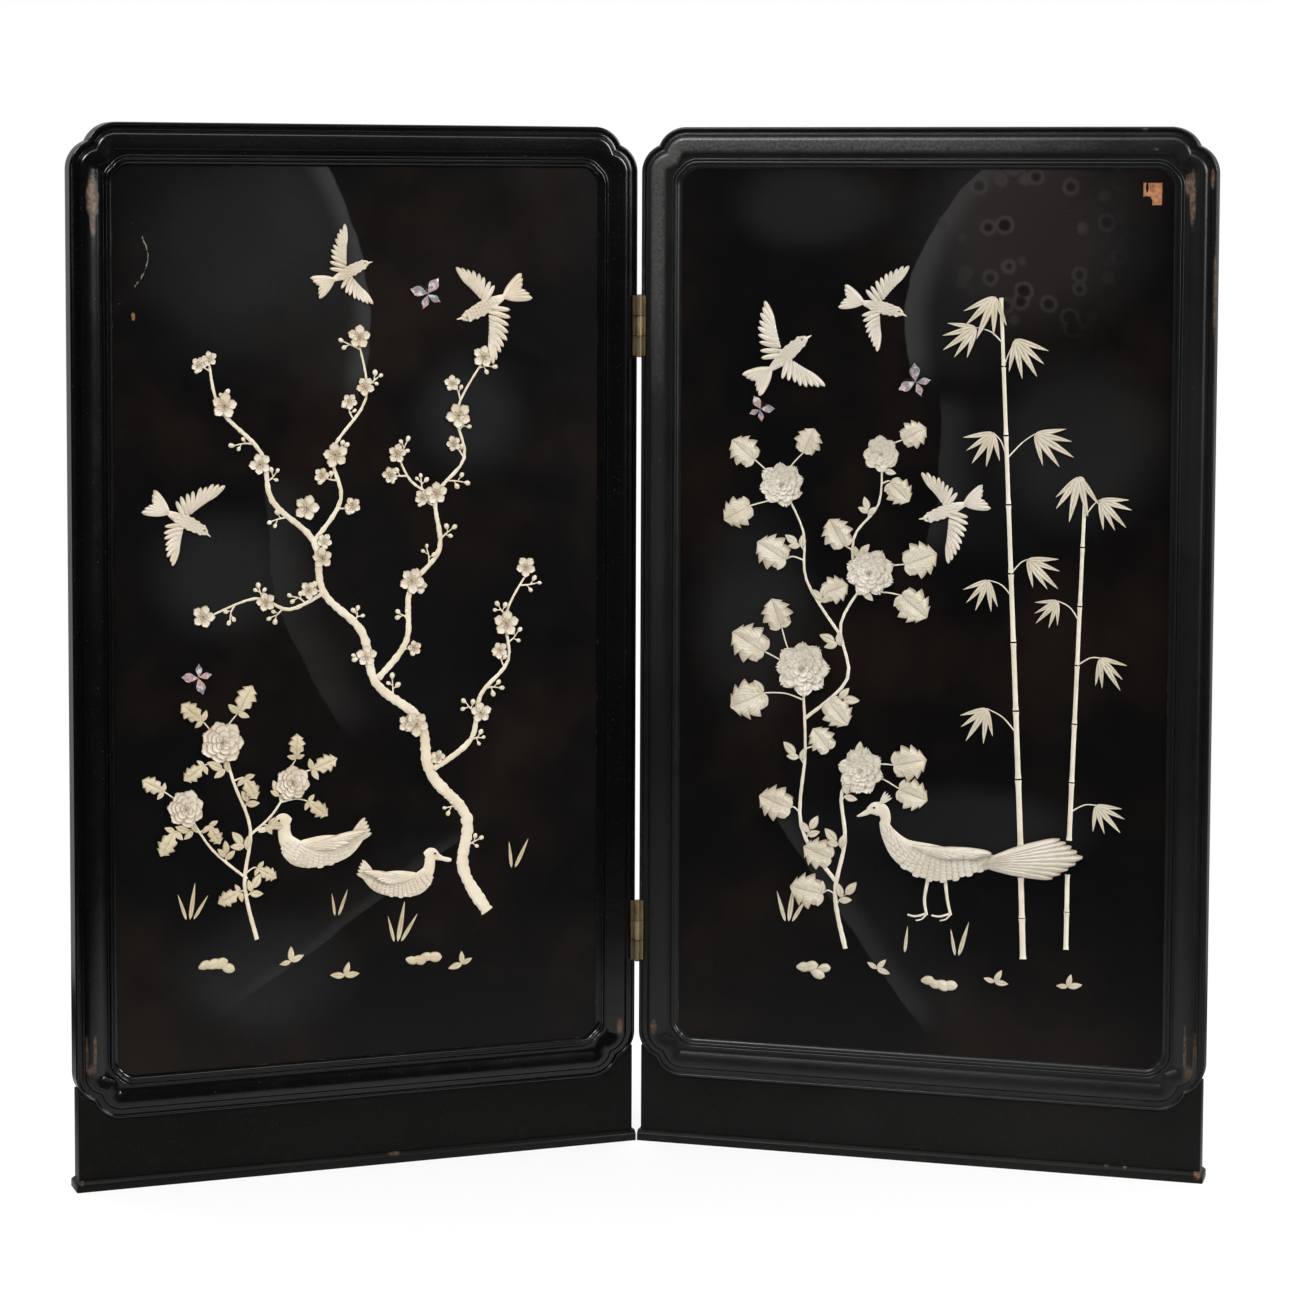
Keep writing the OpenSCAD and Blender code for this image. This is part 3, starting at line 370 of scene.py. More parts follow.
def board_finish(name, side):
    def build(b):
        place = panel_place(b, side)
        x, y, z = split(b, place)
        cloud = b.noise(place, 1.5, 3.0, 0.5, 0.8)
        warm = b.ramp(b.noise(place, 3.1, 4.0, 0.6), 0.42, 0.75)
        colour_now = b.blend(warm, srgb(9, 8, 8), srgb(25, 18, 14))
        ragged = b.noise(place, 2.6, 3.0, 0.5)
        front = 1.0 - b.ramp(y, 0.020, 0.024)
        # Painted reflections: cloudy grey patches stand in for the room mirrored in the boards.
        for at, size in BOARD_PAINTED_REFLECTIONS[side]:
            grey = spot(b, x, z, at, size, ragged, 0.5) * cloud * front * 0.9
            colour_now = b.blend(grey, colour_now, srgb(37, 38, 38))
        # Painted reflections: pale curved bands laid over the board's colour.
        wobble = (b.noise(place, 8.0, 3.0, 0.5) - 0.5) * 0.03
        for *shape, level in PAINTED_REFLECTION_BANDS[side]:
            colour_now = b.blend(painted_reflection_band(b, x, z, wobble, *shape) * front * level, colour_now, srgb(52, 52, 52))
        bumps = []
        if side == "right":
            colour_now, bump = blistered(b, x, z, place, colour_now, ragged, front)
            bumps.append(bump)
            colour_now = flaked(b, x, z, place, colour_now, front)
        else:
            colour_now = scratched(b, x, z, place, colour_now, front)
        fine = b.noise(place, 140.0, 4.0, 0.6)
        dust = b.ramp(b.noise(place, 300.0, 2.0, 0.5), 0.68, 0.8)
        streak = b.noise(place, 5.0, 4.0, 0.5, 2.0)
        colour_now = b.blend(dust * 0.1, colour_now, srgb(110, 104, 98))
        return ({"Base Color": colour_now, "Roughness": b.clamp(0.3 + (streak - 0.5) * 0.2 + dust * 0.2),
                 "IOR": 1.45, "Specular IOR Level": 0.17},
                bumps + [(streak, 0.05, 0.002), (fine, 0.06, 0.0002)])
    return finish_of(name, build)


board_finishes = {side: board_finish("lacquer_board_" + side, side) for side in SIDES}
print("lacquers:", [m.name for m in frame_finish.values()], [m.name for m in board_finishes.values()])

# %% [markdown]
# Bone is matt and warm, a little darker in the cut lines where dirt has settled. Shell is thin,
# glossy and changes between pink and blue-grey. The brass of the hinges is brown with age, and
# bright only where the knuckles rub.

# %% Finishes of the inlay and the metal
def bone_ground(b, pale, deep, stain, hollows, dirt):
    """Cloudy bone with dirt in its hollows: the cloud, the grain and the colour."""
    cloud = b.noise(b.coords(), 24.0, 4.0, 0.6)
    clean = b.blend(b.ramp(cloud, 0.3, 0.7), pale, deep)
    return cloud, b.noise(b.coords(), 700.0, 3.0, 0.6), b.blend((1.0 - b.edges(*hollows)) * dirt, clean, stain)


def bone_finish(name, pale, deep, stain):
    def build(b):
        cloud, grain, colour_now = bone_ground(b, pale, deep, stain, (0.42, 0.5), 0.7)
        pores = b.ramp(b.noise(b.coords(), 1500.0, 2.0, 0.5), 0.62, 0.75)
        return ({"Base Color": b.blend(pores * 0.18, colour_now, stain), "Specular IOR Level": 0.35,
                 "Roughness": b.clamp(0.5 + (cloud - 0.5) * 0.15 + pores * 0.1)},
                [(grain, 0.22, 0.0003), (cloud, 0.1, 0.0006)])
    return finish_of(name, build)


def shell(b):
    coords = b.coords()
    bands = b.noise(coords, 60.0, 3.0, 0.5, 1.5)
    colour_now = b.blend(b.ramp(bands, 0.35, 0.65), srgb(186, 146, 138), srgb(112, 118, 128))
    colour_now = b.blend(b.ramp(b.noise(coords, 140.0, 2.0, 0.5), 0.52, 0.66), colour_now, srgb(186, 190, 188))
    return ({"Base Color": colour_now, "Roughness": 0.18 + bands * 0.1, "Coat Weight": 0.4 + bands * 0.2},
            [(bands, 0.1, 0.0005)])


def brass(b, dull, plain, rubbed):
    coords = b.coords()
    _, _, z = split(b, coords)
    patina = b.ramp(b.noise(coords, 60.0, 5.0, 0.65), 0.38, 0.66)
    pits = b.ramp(b.noise(coords, 500.0, 3.0, 0.6), 0.6, 0.72)
    rub = b.edges(0.5, 0.56)
    colour_now = b.blend(patina, plain, dull)
    colour_now = b.blend(rub * 0.5, colour_now, rubbed)
    for middle in HINGE_Z:
        seam = abs(abs(z - middle * MM) - HINGE_H / 6 * MM)
        colour_now = b.blend((1.0 - b.ramp(seam, 0.0004, 0.0011)) * 0.85, colour_now, srgb(28, 22, 17))
    return ({"Base Color": colour_now, "Metallic": 0.9 - patina * 0.35,
             "Roughness": b.clamp(0.42 + patina * 0.22 + pits * 0.1)},
            [(pits, 0.2, 0.0002)])


def planed_wood(b):
    coords = b.coords()
    stretched = b.add("ShaderNodeMapping", None, {"Vector": coords, "Scale": (60.0, 60.0, 6.0)})
    grain = b.noise(stretched, 3.0, 5.0, 0.6, 0.6)
    return ({"Base Color": b.blend(grain, srgb(150, 118, 82), srgb(112, 84, 54)), "Roughness": 0.6 + grain * 0.2},
            [(grain, 0.2, 0.0004)])


def screw_steel(b):
    coords = b.coords()
    dull = b.noise(coords, 300.0, 4.0, 0.6)
    return ({"Base Color": b.blend(dull, srgb(150, 150, 148), srgb(96, 94, 90)), "Metallic": 1.0,
             "Roughness": 0.35 + dull * 0.25}, [(dull, 0.1, 0.0002)])


bone = {
    "left": bone_finish("bone_aged", srgb(220, 210, 190), srgb(204, 190, 164), srgb(128, 104, 76)),
    "right": bone_finish("bone_pale", srgb(221, 213, 198), srgb(206, 196, 176), srgb(138, 116, 92)),
}
pearl = finish_of("pearl_shell", shell)
aged_brass, rubbed_brass = (finish_of(name, lambda b: brass(b, *tones)) for name, tones in (
    ("brass_aged", (srgb(64, 52, 40), srgb(104, 90, 68), srgb(146, 128, 98))),
    ("brass_rubbed", (srgb(84, 72, 50), srgb(132, 116, 82), srgb(172, 156, 118)))))
wood = finish_of("wood_planed", planed_wood)
steel = finish_of("steel_screw", screw_steel)
print("other finishes:", pearl.name, aged_brass.name, wood.name, steel.name)

# %% Helpers that turn a drawing into a piece
def in_scene(name, data):
    obj = bpy.data.objects.new(name, data)
    bpy.context.scene.collection.objects.link(obj)
    return obj


def new_object(name, mesh, material):
    mesh.materials.clear()
    mesh.materials.append(material)
    return in_scene(name, mesh)


def new_mesh(name, verts, edges=(), faces=(), **values):
    """A mesh from lists, with a float attribute for each further list."""
    mesh = bpy.data.meshes.new(name)
    mesh.from_pydata(verts, edges, faces)
    for key, numbers in values.items():
        mesh.attributes.new(key, "FLOAT", "POINT").data.foreach_set("value", [float(n) for n in numbers])
    return mesh


def poured(name, work):
    """A mesh from a bmesh, which is used up."""
    mesh = bpy.data.meshes.new(name)
    work.to_mesh(mesh)
    work.free()
    return mesh


def smooth_faces(mesh, angle):
    mesh.polygons.foreach_set("use_smooth", [True] * len(mesh.polygons))
    mesh.set_sharp_from_angle(angle=radians(angle))


def face_out(mesh, merge=True):
    work = bmesh.new()
    work.from_mesh(mesh)
    if merge:
        bmesh.ops.remove_doubles(work, verts=work.verts, dist=1e-6)
    bmesh.ops.recalc_face_normals(work, faces=work.faces)
    work.to_mesh(mesh)
    work.free()


def settle(obj):
    """Replaces an object's mesh by what its modifiers make, as a plain mesh."""
    made = bpy.data.meshes.new_from_object(obj.evaluated_get(bpy.context.evaluated_depsgraph_get()))
    obj.modifiers.clear()
    old, obj.data = obj.data, made
    bpy.data.meshes.remove(old)
    return obj


def soften(obj, width, segments):
    bevel = obj.modifiers.new("arris", "BEVEL")
    bevel.width, bevel.segments, bevel.limit_method, bevel.angle_limit = width, segments, "ANGLE", radians(30)
    return settle(obj)


def dress(obj, side, node):
    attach(obj, side + "_panel")
    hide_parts(node)
    return obj


def stand_up(obj, side, angle, node):
    """Stands a flat drawing at its place in the panel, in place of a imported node."""
    obj.data.transform(panel_matrix(side))
    face_out(obj.data)
    smooth_faces(obj.data, angle)
    return dress(obj, side, node)

# %% [markdown]
# Each side of the frame is one long moulding: an outer bead, a groove, a wide roll, two fine beads
# and a cove down to the board. A joiner runs straight lengths and carves the lobed corners. Here
# the rule is simple: every point of the profile follows either the outer lobe or the opening's
# lobe, at its own distance. So a flat grid carries two values per point and Geometry Nodes places it,
# and the one tree makes rails and stiles from a few named sizes.

# %% The profile of the frame
def bow(cx, cz, r, start, stop, steps):
    return [(cx + r * cos(radians(a)), cz + r * sin(radians(a)))
            for a in (start + (stop - start) * i / steps for i in range(steps + 1))]


BEAD_R, BEAD_DROP, GROOVE, STEP_IN, STEP_DROP = 2.8, 3.5, 8.0, 11.5, 6.2
ROLL_IN, SHOULDER_R, ROLL_OUT, VALLEY = 14.0, 9.0, 45.0, 5.5
CREST = ROLL_IN + SHOULDER_R
BACK_R = ((ROLL_OUT - CREST) ** 2 + VALLEY ** 2) / (2 * VALLEY)
BACK_TURN = degrees(asin((ROLL_OUT - CREST) / BACK_R))
VALLEY_END, THIN_BEAD_IN, THIN_BEAD_R, THICK_BEAD_IN, THICK_BEAD_R = 17.3, 15.2, 1.8, 10.2, 2.3
COVE_R, LIP = 7.5, 1.0
COVE_Z = COVE_R + LIP - BOARD_DROP
COVE_START = 180 + degrees(asin((COVE_Z + VALLEY) / COVE_R))
WALL_IN = 67.6
outer_line = ([(1.2, -FRAME_T), (0.3, -FRAME_T + 0.4), (0, -FRAME_T + 1.4)]
              + [(0, z) for z in (-30, -18, -BEAD_DROP - BEAD_R - 1)]
              + bow(BEAD_R, -BEAD_DROP - BEAD_R, BEAD_R, 180, 0, 12)
              + bow(2 * BEAD_R + 0.7, -GROOVE + 0.7, 0.7, 180, 270, 3)
              + bow(STEP_IN - 0.6, -GROOVE + 0.6, 0.6, 270, 360, 2)
              + bow(STEP_IN + 0.5, -STEP_DROP - 0.5, 0.5, 180, 90, 3)
              + bow(CREST, -SHOULDER_R, SHOULDER_R, 180 - degrees(asin(1 - STEP_DROP / SHOULDER_R)), 90, 12)
              + bow(CREST, -BACK_R, BACK_R, 90 - BACK_TURN / 9, 90 - BACK_TURN, 8))
inner_line = ([(VALLEY_END, -VALLEY)] + bow(THIN_BEAD_IN, -VALLEY, THIN_BEAD_R, 0, 180, 8)[:-1]
              + bow(THICK_BEAD_IN, -VALLEY, THICK_BEAD_R, 0, 180, 9)
              + [(-x, z) for x, z in bow(0, COVE_Z, COVE_R, COVE_START, 270, 8)] + [(0.0, -BOARD_DROP)])
wall_line = [(WALL_IN, z) for z in (-BOARD_DROP, -30, -FRAME_T)]
profile = [(which, *p) for which, line in enumerate((outer_line, inner_line, wall_line)) for p in line]
# From a mitre to the middle of a side, tau runs 0 to 1: first the run at the mitre, then the lobe.
MITRE_END, LOBE_SPAN, LOBE_END, STRAIGHT_SPAN = 0.15, 0.45, 0.6, 0.4
stations = ([MITRE_END * i / 5 for i in range(5)] + [MITRE_END + LOBE_SPAN * i / 20 for i in range(20)]
            + [LOBE_END + STRAIGHT_SPAN * i / 7 for i in range(8)])
along = [t / 2 for t in stations] + [1 - t / 2 for t in reversed(stations[:-1])]


def sleeve(rings, count):
    """Faces of a closed sleeve of rings of points, with capped ends."""
    faces = [(r * count + i, r * count + (i + 1) % count, (r + 1) * count + (i + 1) % count, (r + 1) * count + i)
             for r in range(rings - 1) for i in range(count)]
    last = (rings - 1) * count
    return faces + [tuple(reversed(range(count))), tuple(range(last, last + count))]


def profile_grid():
    """A sleeve of profile rings, still without a shape of its own."""
    count = len(profile)
    edge, inset, level = zip(*profile * len(along))
    return new_mesh("profile_grid", [(t, i, 0) for t in along for i in range(count)], (), sleeve(len(along), count),
                    along=[t for t in along for _ in profile], edge=edge, inset=inset, level=level)


print(len(profile), "points round the profile,", len(along), "rings along a side")

# %% The tree that shapes a moulding
def new_tree(name, inputs):
    """A Geometry Nodes tree with named inputs. Returns its bench, the wires and the group output."""
    tree = bpy.data.node_groups.new(name, "GeometryNodeTree")
    tree.interface.new_socket("Geometry", in_out="OUTPUT", socket_type="NodeSocketGeometry")
    for key, kind in {"Geometry": "Geometry", **inputs}.items():
        tree.interface.new_socket(key, in_out="INPUT", socket_type="NodeSocket" + kind)
    bench = Bench(tree)
    source, target = tree.nodes.new("NodeGroupInput"), tree.nodes.new("NodeGroupOutput")
    return bench, {s.name: Wire(bench, s) for s in source.outputs if s.name}, target


def run_tree(obj, tree, values):
    """Adds the tree as a modifier, sets its inputs by their identifiers and keeps the result."""
    modifier = obj.modifiers.new(tree.name, "NODES")
    modifier.node_group = tree
    for item in tree.interface.items_tree:
        if item.item_type == "SOCKET" and item.in_out == "INPUT" and item.name in values:
            modifier[item.identifier] = values[item.name]
    return settle(obj)


def attribute(bench, name):
    return bench.add("GeometryNodeInputNamedAttribute", {"data_type": "FLOAT"}, {"Name": name})


def close_tree(bench, geometry, material, target):
    real = bench.add("GeometryNodeRealizeInstances", None, {"Geometry": geometry})
    done = bench.add("GeometryNodeSetMaterial", None, {"Geometry": real, "Material": material})
    bench.tree.links.new(done.socket, target.inputs[0])
    return bench.tree


def moulding_tree():
    b, w, target = new_tree("lobed_moulding", {
        "Length": "Float", "Lobe radius": "Float", "Lobe turn": "Float", "Opening radius": "Float",
        "Opening turn": "Float", "Rail width": "Float", "Finish": "Material"})
    at, edge, s, level = (attribute(b, n) for n in ("along", "edge", "inset", "level"))
    tau = 1.0 - abs(2.0 * at - 1.0)
    near = 1.0 - b.math("GREATER_THAN", at, 0.5)
    straight = b.clamp((tau - LOBE_END) / STRAIGHT_SPAN)
    turn, r = w["Lobe turn"], w["Lobe radius"]
    st, ct = b.math("SINE", turn), b.math("COSINE", turn)
    half, start = w["Length"] / 2.0, r * (1.0 - ct + st)
    theta = turn * b.clamp((LOBE_END - tau) / LOBE_SPAN)
    run = s * (st - ct) / (st + ct) * b.clamp(1.0 - tau / MITRE_END)
    outer_x = start - (r - s) * b.math("SINE", theta) - run * ct + straight * (half - start)
    outer_y = r - (r - s) * b.math("COSINE", theta) + run * st
    turn_in, r_in = w["Opening turn"], w["Opening radius"]
    si, ci = b.math("SINE", turn_in), b.math("COSINE", turn_in)
    start_in = w["Rail width"] + r_in * (1.0 - ci + si)
    out = r_in + s
    at_mitre = pi / 4 + b.math("ARCSINE", r_in * (si - ci) / (out * sqrt(2)))
    phi = at_mitre * b.clamp((LOBE_END - tau) / LOBE_END)
    inner_x = start_in - out * b.math("SINE", phi) + straight * (half - start_in)
    inner_y = w["Rail width"] + r_in - out * b.math("COSINE", phi)
    wall_x = s + b.clamp(tau / LOBE_END) * (start_in - s) + straight * (half - start_in)
    is_wall = b.math("GREATER_THAN", edge, 1.5)
    is_inner = b.math("GREATER_THAN", edge, 0.5) - is_wall
    is_outer = 1.0 - is_inner - is_wall
    half_x = outer_x * is_outer + inner_x * is_inner + wall_x * is_wall
    y = outer_y * is_outer + inner_y * is_inner + s * is_wall
    x = half_x * near + (w["Length"] - half_x) * (1.0 - near)
    shaped = b.add("GeometryNodeSetPosition", None, {"Geometry": w["Geometry"], "Position": b.vector(x, y, level)})
    return close_tree(b, shaped, w["Finish"], target)


moulding = moulding_tree()
print(moulding.name, "has", len(moulding.nodes), "nodes")

# %% [markdown]
# The four sides of each frame are the same moulding, turned. The two stiles that carry the hinges
# are cut for the leaves, as on the bench: a shallow bed in the edge and a small one in the groove.

# %% Rails and stiles
def cut_beds(obj, side):
    """Cuts a hinge stile for its two leaves: a wide shallow bed, and a deeper one for the bent lip."""
    s, tall = SIDES[side], HINGE_H / 2 + LEAF_FIT
    beds = (LEAF_T + LEAF_FIT, -LEAF_DEPTH - LEAF_FIT), (LEAF_LIP_W + LEAF_FIT, -GROOVE)
    for z in HINGE_Z:
        for deep, low in beds:
            a, c = sorted((-2.0 * s, deep * s))
            start, stop = Vector((a, z - tall, low)), Vector((c, z + tall, 3.0))
            work = bmesh.new()
            bmesh.ops.create_cube(work, size=1.0, matrix=Matrix.Translation((start + stop) / 2)
                                  @ Matrix.Diagonal((*(stop - start), 1)))
            block = new_object("hinge_bed", poured("hinge_bed", work), steel)
            cut = obj.modifiers.new("bed", "BOOLEAN")
            cut.object, cut.solver = block, "EXACT"
            settle(obj)
            bpy.data.objects.remove(block)


def side_of_frame(side, part, length, turn_deg, corner):
    obj = new_object(f"{side}_{part}_moulding", profile_grid(), frame_finish[side])
    run_tree(obj, moulding, {
        "Length": length, "Lobe radius": LOBE_R, "Lobe turn": radians(LOBE_TURN), "Opening radius": OPENING_R,
        "Opening turn": radians(OPENING_TURN), "Rail width": RAIL_W, "Finish": frame_finish[side]})
    obj.data.transform(Matrix.Translation((*corner, 0)) @ Matrix.Rotation(radians(turn_deg), 4, "Z"))
    if part == "hinge_stile":
        cut_beds(obj, side)
    return stand_up(obj, side, 38, f"{side}_{part}")


TOP = FRAME_Z + FRAME_H
members = []
for side, s in SIDES.items():
    left_end = -PANEL_W if s < 0 else 0.0
    members += [
        side_of_frame(side, "bottom_rail", PANEL_W, 0, (left_end, FRAME_Z)),
        side_of_frame(side, "top_rail", PANEL_W, 180, (left_end + PANEL_W, TOP)),
        side_of_frame(side, "hinge_stile" if s < 0 else "outer_stile", FRAME_H, 90, (left_end + PANEL_W, FRAME_Z)),
        side_of_frame(side, "outer_stile" if s < 0 else "hinge_stile", FRAME_H, -90, (left_end, TOP)),
    ]
print("mouldings:", {m.name: len(m.data.polygons) for m in members})

# %% [markdown]
# Under the frame an apron fills the space to the plinth, and rises in an ear beside each lobe. It is
# a board cut to an outline, so it is made that way: one outline, given its thickness, with the sharp
# arrises taken off by a Bevel. The plinth is a ledge with a chamfer along its top.

# %% Aprons and plinths
def apron(side):
    """The outline keeps 0.1 mm clear of both lobes, and an ear ends where it would be too thin."""
    clear = LOBE_R + 0.1
    reach = LOBE_R * (1 - cos(radians(LOBE_TURN)) + sin(radians(LOBE_TURN)))
    tip_turn = degrees(acos((LOBE_R - APRON_IN - EAR_TIP) / clear))
    upper = [(x, FRAME_Z + reach + z) for x, z in bow(LOBE_R, 0, clear, 180 + tip_turn, 180 + LOBE_TURN, 8)]
    lower = [(x, FRAME_Z + LOBE_R + z) for x, z in bow(reach, 0, clear, 270 - LOBE_TURN, 270, 10)]
    line = [(APRON_IN, PLINTH_H), (APRON_IN, upper[0][1])] + upper + lower[1:]
    outline = line + [(PANEL_W - x, y) for x, y in reversed(line)]
    name = side + "_apron_board"
    mesh = new_mesh(name, [(x * SIDES[side], y, z) for z in (-FRAME_T, -APRON_DROP) for x, y in outline],
                    (), sleeve(2, len(outline)))
    face_out(mesh)
    board = soften(new_object(name, mesh, apron_finish[side]), 0.8, 2)
    return stand_up(board, side, 40, side + "_apron")


def plinth(side):
    """A ledge whose top is drawn in on three sides, but not at the hinge."""
    low, high = -FRAME_T - PLINTH_BACK, PLINTH_FRONT
    points = []
    for height, inset in ((0, 0), (PLINTH_H - CHAMFER, 0), (PLINTH_H, CHAMFER)):
        far = PANEL_W + PLINTH_OUT - inset
        points += [(x * SIDES[side], height, z) for x, z in (
            (-PLINTH_OUT, high - inset), (far, high - inset), (far, low + inset), (-PLINTH_OUT, low + inset))]
    name = side + "_plinth_ledge"
    mesh = new_mesh(name, points, (), sleeve(3, 4))
    face_out(mesh)
    ledge = soften(new_object(name, mesh, plinth_finish[side]), 1.2, 3)
    return stand_up(ledge, side, 40, side + "_plinth")


for side in SIDES:
    print(apron(side).name, plinth(side).name)

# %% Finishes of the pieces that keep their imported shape
def paint_node(node, material):
    data = nodes[node].data
    data.materials.clear()
    data.materials.append(material)


for node in nodes:
    side = "left" if node.startswith("left") else "right"
    if node.endswith(("picture_board", "back_board")):
        paint_node(node, board_finishes[side])
    elif "hinge" in node and "stile" not in node:
        paint_node(node, rubbed_brass if "right_leaf" in node else aged_brass)
    elif node.endswith(("battens", "keys", "dowels")):
        paint_node(node, wood)
    elif node.endswith("plinth_screws"):
        paint_node(node, steel)

# %% [markdown]
# The picture is made of carved bone, piece by piece: every petal, leaf and feather is a thin blade
# with its own relief, laid over its neighbours and glued down. So a few blades are modelled once,
# as a fine grid with a rim, and Geometry Nodes lay them out from points that carry a turn, a tilt
# and a size. That keeps hundreds of pieces crisp and light, and no two flowers are quite alike.

# %% Blades that are used again and again
def blade(name, half_width, relief, steps, under=0.045, end=lambda v: 0.0, sweep=0.0):
    """A closed blade along +x from the origin, one unit long, with a UV map that runs with it."""
    long, wide = steps
    verts, uvs = [], []
    for i in range(long + 1):
        for j in range(wide + 1):
            u, v = i / long, 2 * j / wide - 1
            verts.append((u + end(v) * u * u + sweep * abs(v) * sin(u * pi), half_width(u) * v, relief(u, v)))
            uvs.append((u, v * 0.5 + 0.5))
    row = wide + 1
    faces = [(i * row + j, (i + 1) * row + j, (i + 1) * row + j + 1, i * row + j + 1)
             for i in range(long) for j in range(wide)]
    rim = ([j for j in range(row)] + [i * row + wide for i in range(1, long + 1)]
           + [long * row + j for j in range(wide - 1, -1, -1)] + [i * row for i in range(long - 1, 0, -1)])
    skirt = {k: len(verts) + n for n, k in enumerate(rim)}
    for k in rim:
        verts.append((verts[k][0], verts[k][1], min(verts[k][2], 0.0) - under))
        uvs.append(uvs[k])
    faces += [(a, rim[(n + 1) % len(rim)], skirt[rim[(n + 1) % len(rim)]], skirt[a]) for n, a in enumerate(rim)]
    faces.append(tuple(skirt[k] for k in rim))
    mesh = new_mesh(name, verts, (), faces)
    layer = mesh.uv_layers.new(name="UVMap")
    for loop in mesh.loops:
        layer.data[loop.index].uv = uvs[loop.vertex_index]
    face_out(mesh, merge=False)
    return new_object(name, mesh, bone["left"])


def swell(u, peak, root, tip):
    """A half width that starts at root, is 1 at peak and ends at tip, along 0 to 1."""
    if u < peak:
        k = u / peak
        return root + (1 - root) * sin(k * pi / 2)
    k = (u - peak) / (1 - peak)
    return tip + (1 - tip) * sqrt(max(0.0, 1 - k * k))


def saw(u, teeth, depth):
    """Pointed lobes along an edge: 1 at each point, less between them."""
    return 1 - depth * ((u * teeth + 0.15) % 1)


def leaf_edge(u, widest=0.42):
    return max(0.004, sin(min(1.0, u ** (log(0.5) / log(widest))) * pi)) ** 0.85


def heart(u):
    """The half width of a leaf that is broad at its foot and pointed at its tip."""
    return 0.62 + 0.38 * sin(u / 0.28 * pi / 2) if u < 0.28 else cos((u - 0.28) / 0.72 * pi / 2) ** 0.9


def domed(u, v, height, groove=0.6):
    """A leaf swells to both sides of its midrib and sinks towards its tip and edge."""
    return height * sin(min(1.0, u * 1.12) * pi) ** 0.7 * (1 - groove * (1 - abs(v)) ** 5) * (1 - 0.55 * v * v)


def midrib(v, sharp):
    """1 along the middle of a blade, falling away to both sides."""
    return exp(-(v * sharp) ** 2)


blades = {name: blade(name, *rules[:3], **(rules[3] if len(rules) > 3 else {})) for name, rules in {
    "round_petal": (
        lambda u: 0.4 * swell(u, 0.62, 0.3, 0.3),
        lambda u, v: 0.05 + 0.06 * u + 0.09 * abs(v) ** 3 * sin(u * pi) + 0.05 * max(0, u - 0.75) * 4
        - 0.025 * midrib(v, 4), (9, 8), {"end": lambda v: -0.12 * abs(v) ** 3 - 0.05 * midrib(v, 4)}),
    "ruffled_petal": (
        lambda u: 0.38 * swell(u, 0.72, 0.26, 0.45),
        lambda u, v: 0.04 + 0.08 * u + 0.035 * u * cos(v * 10) + 0.06 * max(0, u - 0.8) * 5,
        (9, 14), {"end": lambda v: 0.05 * cos(v * 9.4) - 0.13 * v * v}),
    "lobed_leaf": (
        lambda u: 0.36 * leaf_edge(u, 0.45) * saw(u, 4, 0.42),
        lambda u, v: 0.03 + domed(u, v, 0.08) - 0.016 * cos((u * 4 - abs(v) * 0.45) * 2 * pi) * abs(v),
        (32, 10), {"sweep": 0.12}),
    "leaflet": (
        lambda u: 0.25 * leaf_edge(u) * saw(u, 7, 0.1), lambda u, v: 0.04 + domed(u, v, 0.085), (14, 8)),
    "broad_leaf": (
        lambda u: 0.56 * heart(u) * saw(u, 4.0, 0.34) + 0.004,
        lambda u, v: 0.02 + domed(u, v, 0.08) + 0.02 * cos(v * 12 - u * 4 * abs(v)) * (1 - u * 0.6)
        - 0.02 * midrib(v, 9), (32, 16), {"end": lambda v: -0.02, "sweep": 0.14}),
    "bamboo_leaf": (
        lambda u: 0.085 * leaf_edge(u, 0.33) + 0.002, lambda u, v: 0.012 + domed(u, v, 0.03, 0.8),
        (12, 6), {"under": 0.02}),
    "feather": (
        lambda u: 0.15 * swell(u, 0.45, 0.4, 0.15) + 0.002,
        lambda u, v: 0.03 + 0.05 * u + 0.02 * midrib(v, 4) - 0.035 * v * v + 0.006 * sin(u * 50 - abs(v) * 6),
        (12, 6), {"under": 0.04}),
    "scale": (
        lambda u: 0.34 * swell(u, 0.55, 0.7, 0.25) + 0.002,
        lambda u, v: 0.02 + 0.11 * u + 0.02 * midrib(v, 3) - 0.04 * v * v, (5, 6), {"under": 0.06}),
    "stamen": (
        lambda u: 0.035 + (0.075 if u > 0.8 else 0.0), lambda u, v: 0.06 + 0.1 * (1 - v * v) + 0.1 * u,
        (6, 2), {"under": 0.05}),
    "bud": (
        lambda u: 0.36 * swell(u, 0.5, 0.25, 0.05),
        lambda u, v: 0.05 + 0.26 * sin(max(0.02, u) * pi) ** 0.7 * sqrt(max(0, 1 - v * v)), (7, 6), {"under": 0.05}),
    "wing_shell": (
        lambda u: 0.27 * leaf_edge(u, 0.6), lambda u, v: 0.03 + 0.03 * sin(u * pi) + 0.012 * sin(v * 14) * u,
        (9, 10), {"under": 0.03, "end": lambda v: 0.04 * cos(v * 11) - 0.1 * v * v}),
}.items()}
print("blades:", {k: len(o.data.polygons) for k, o in blades.items()})

# %% The trees that lay blades and carve strokes
def scatter_tree():
    b, w, target = new_tree("laid_blades", {"Template": "Object", "Relief": "Float", "Finish": "Material"})
    turn, tilt, size, wide = (attribute(b, n) for n in ("turn", "tilt", "size", "wide"))
    source = b.add("GeometryNodeObjectInfo", None, {"Object": w["Template"]}, out=4)
    laid = b.add("GeometryNodeInstanceOnPoints", None, {
        "Points": w["Geometry"], "Instance": source, "Rotation": b.vector(0.0, -tilt, turn),
        "Scale": b.vector(size, size * wide, size * w["Relief"])})
    return close_tree(b, laid, w["Finish"], target)


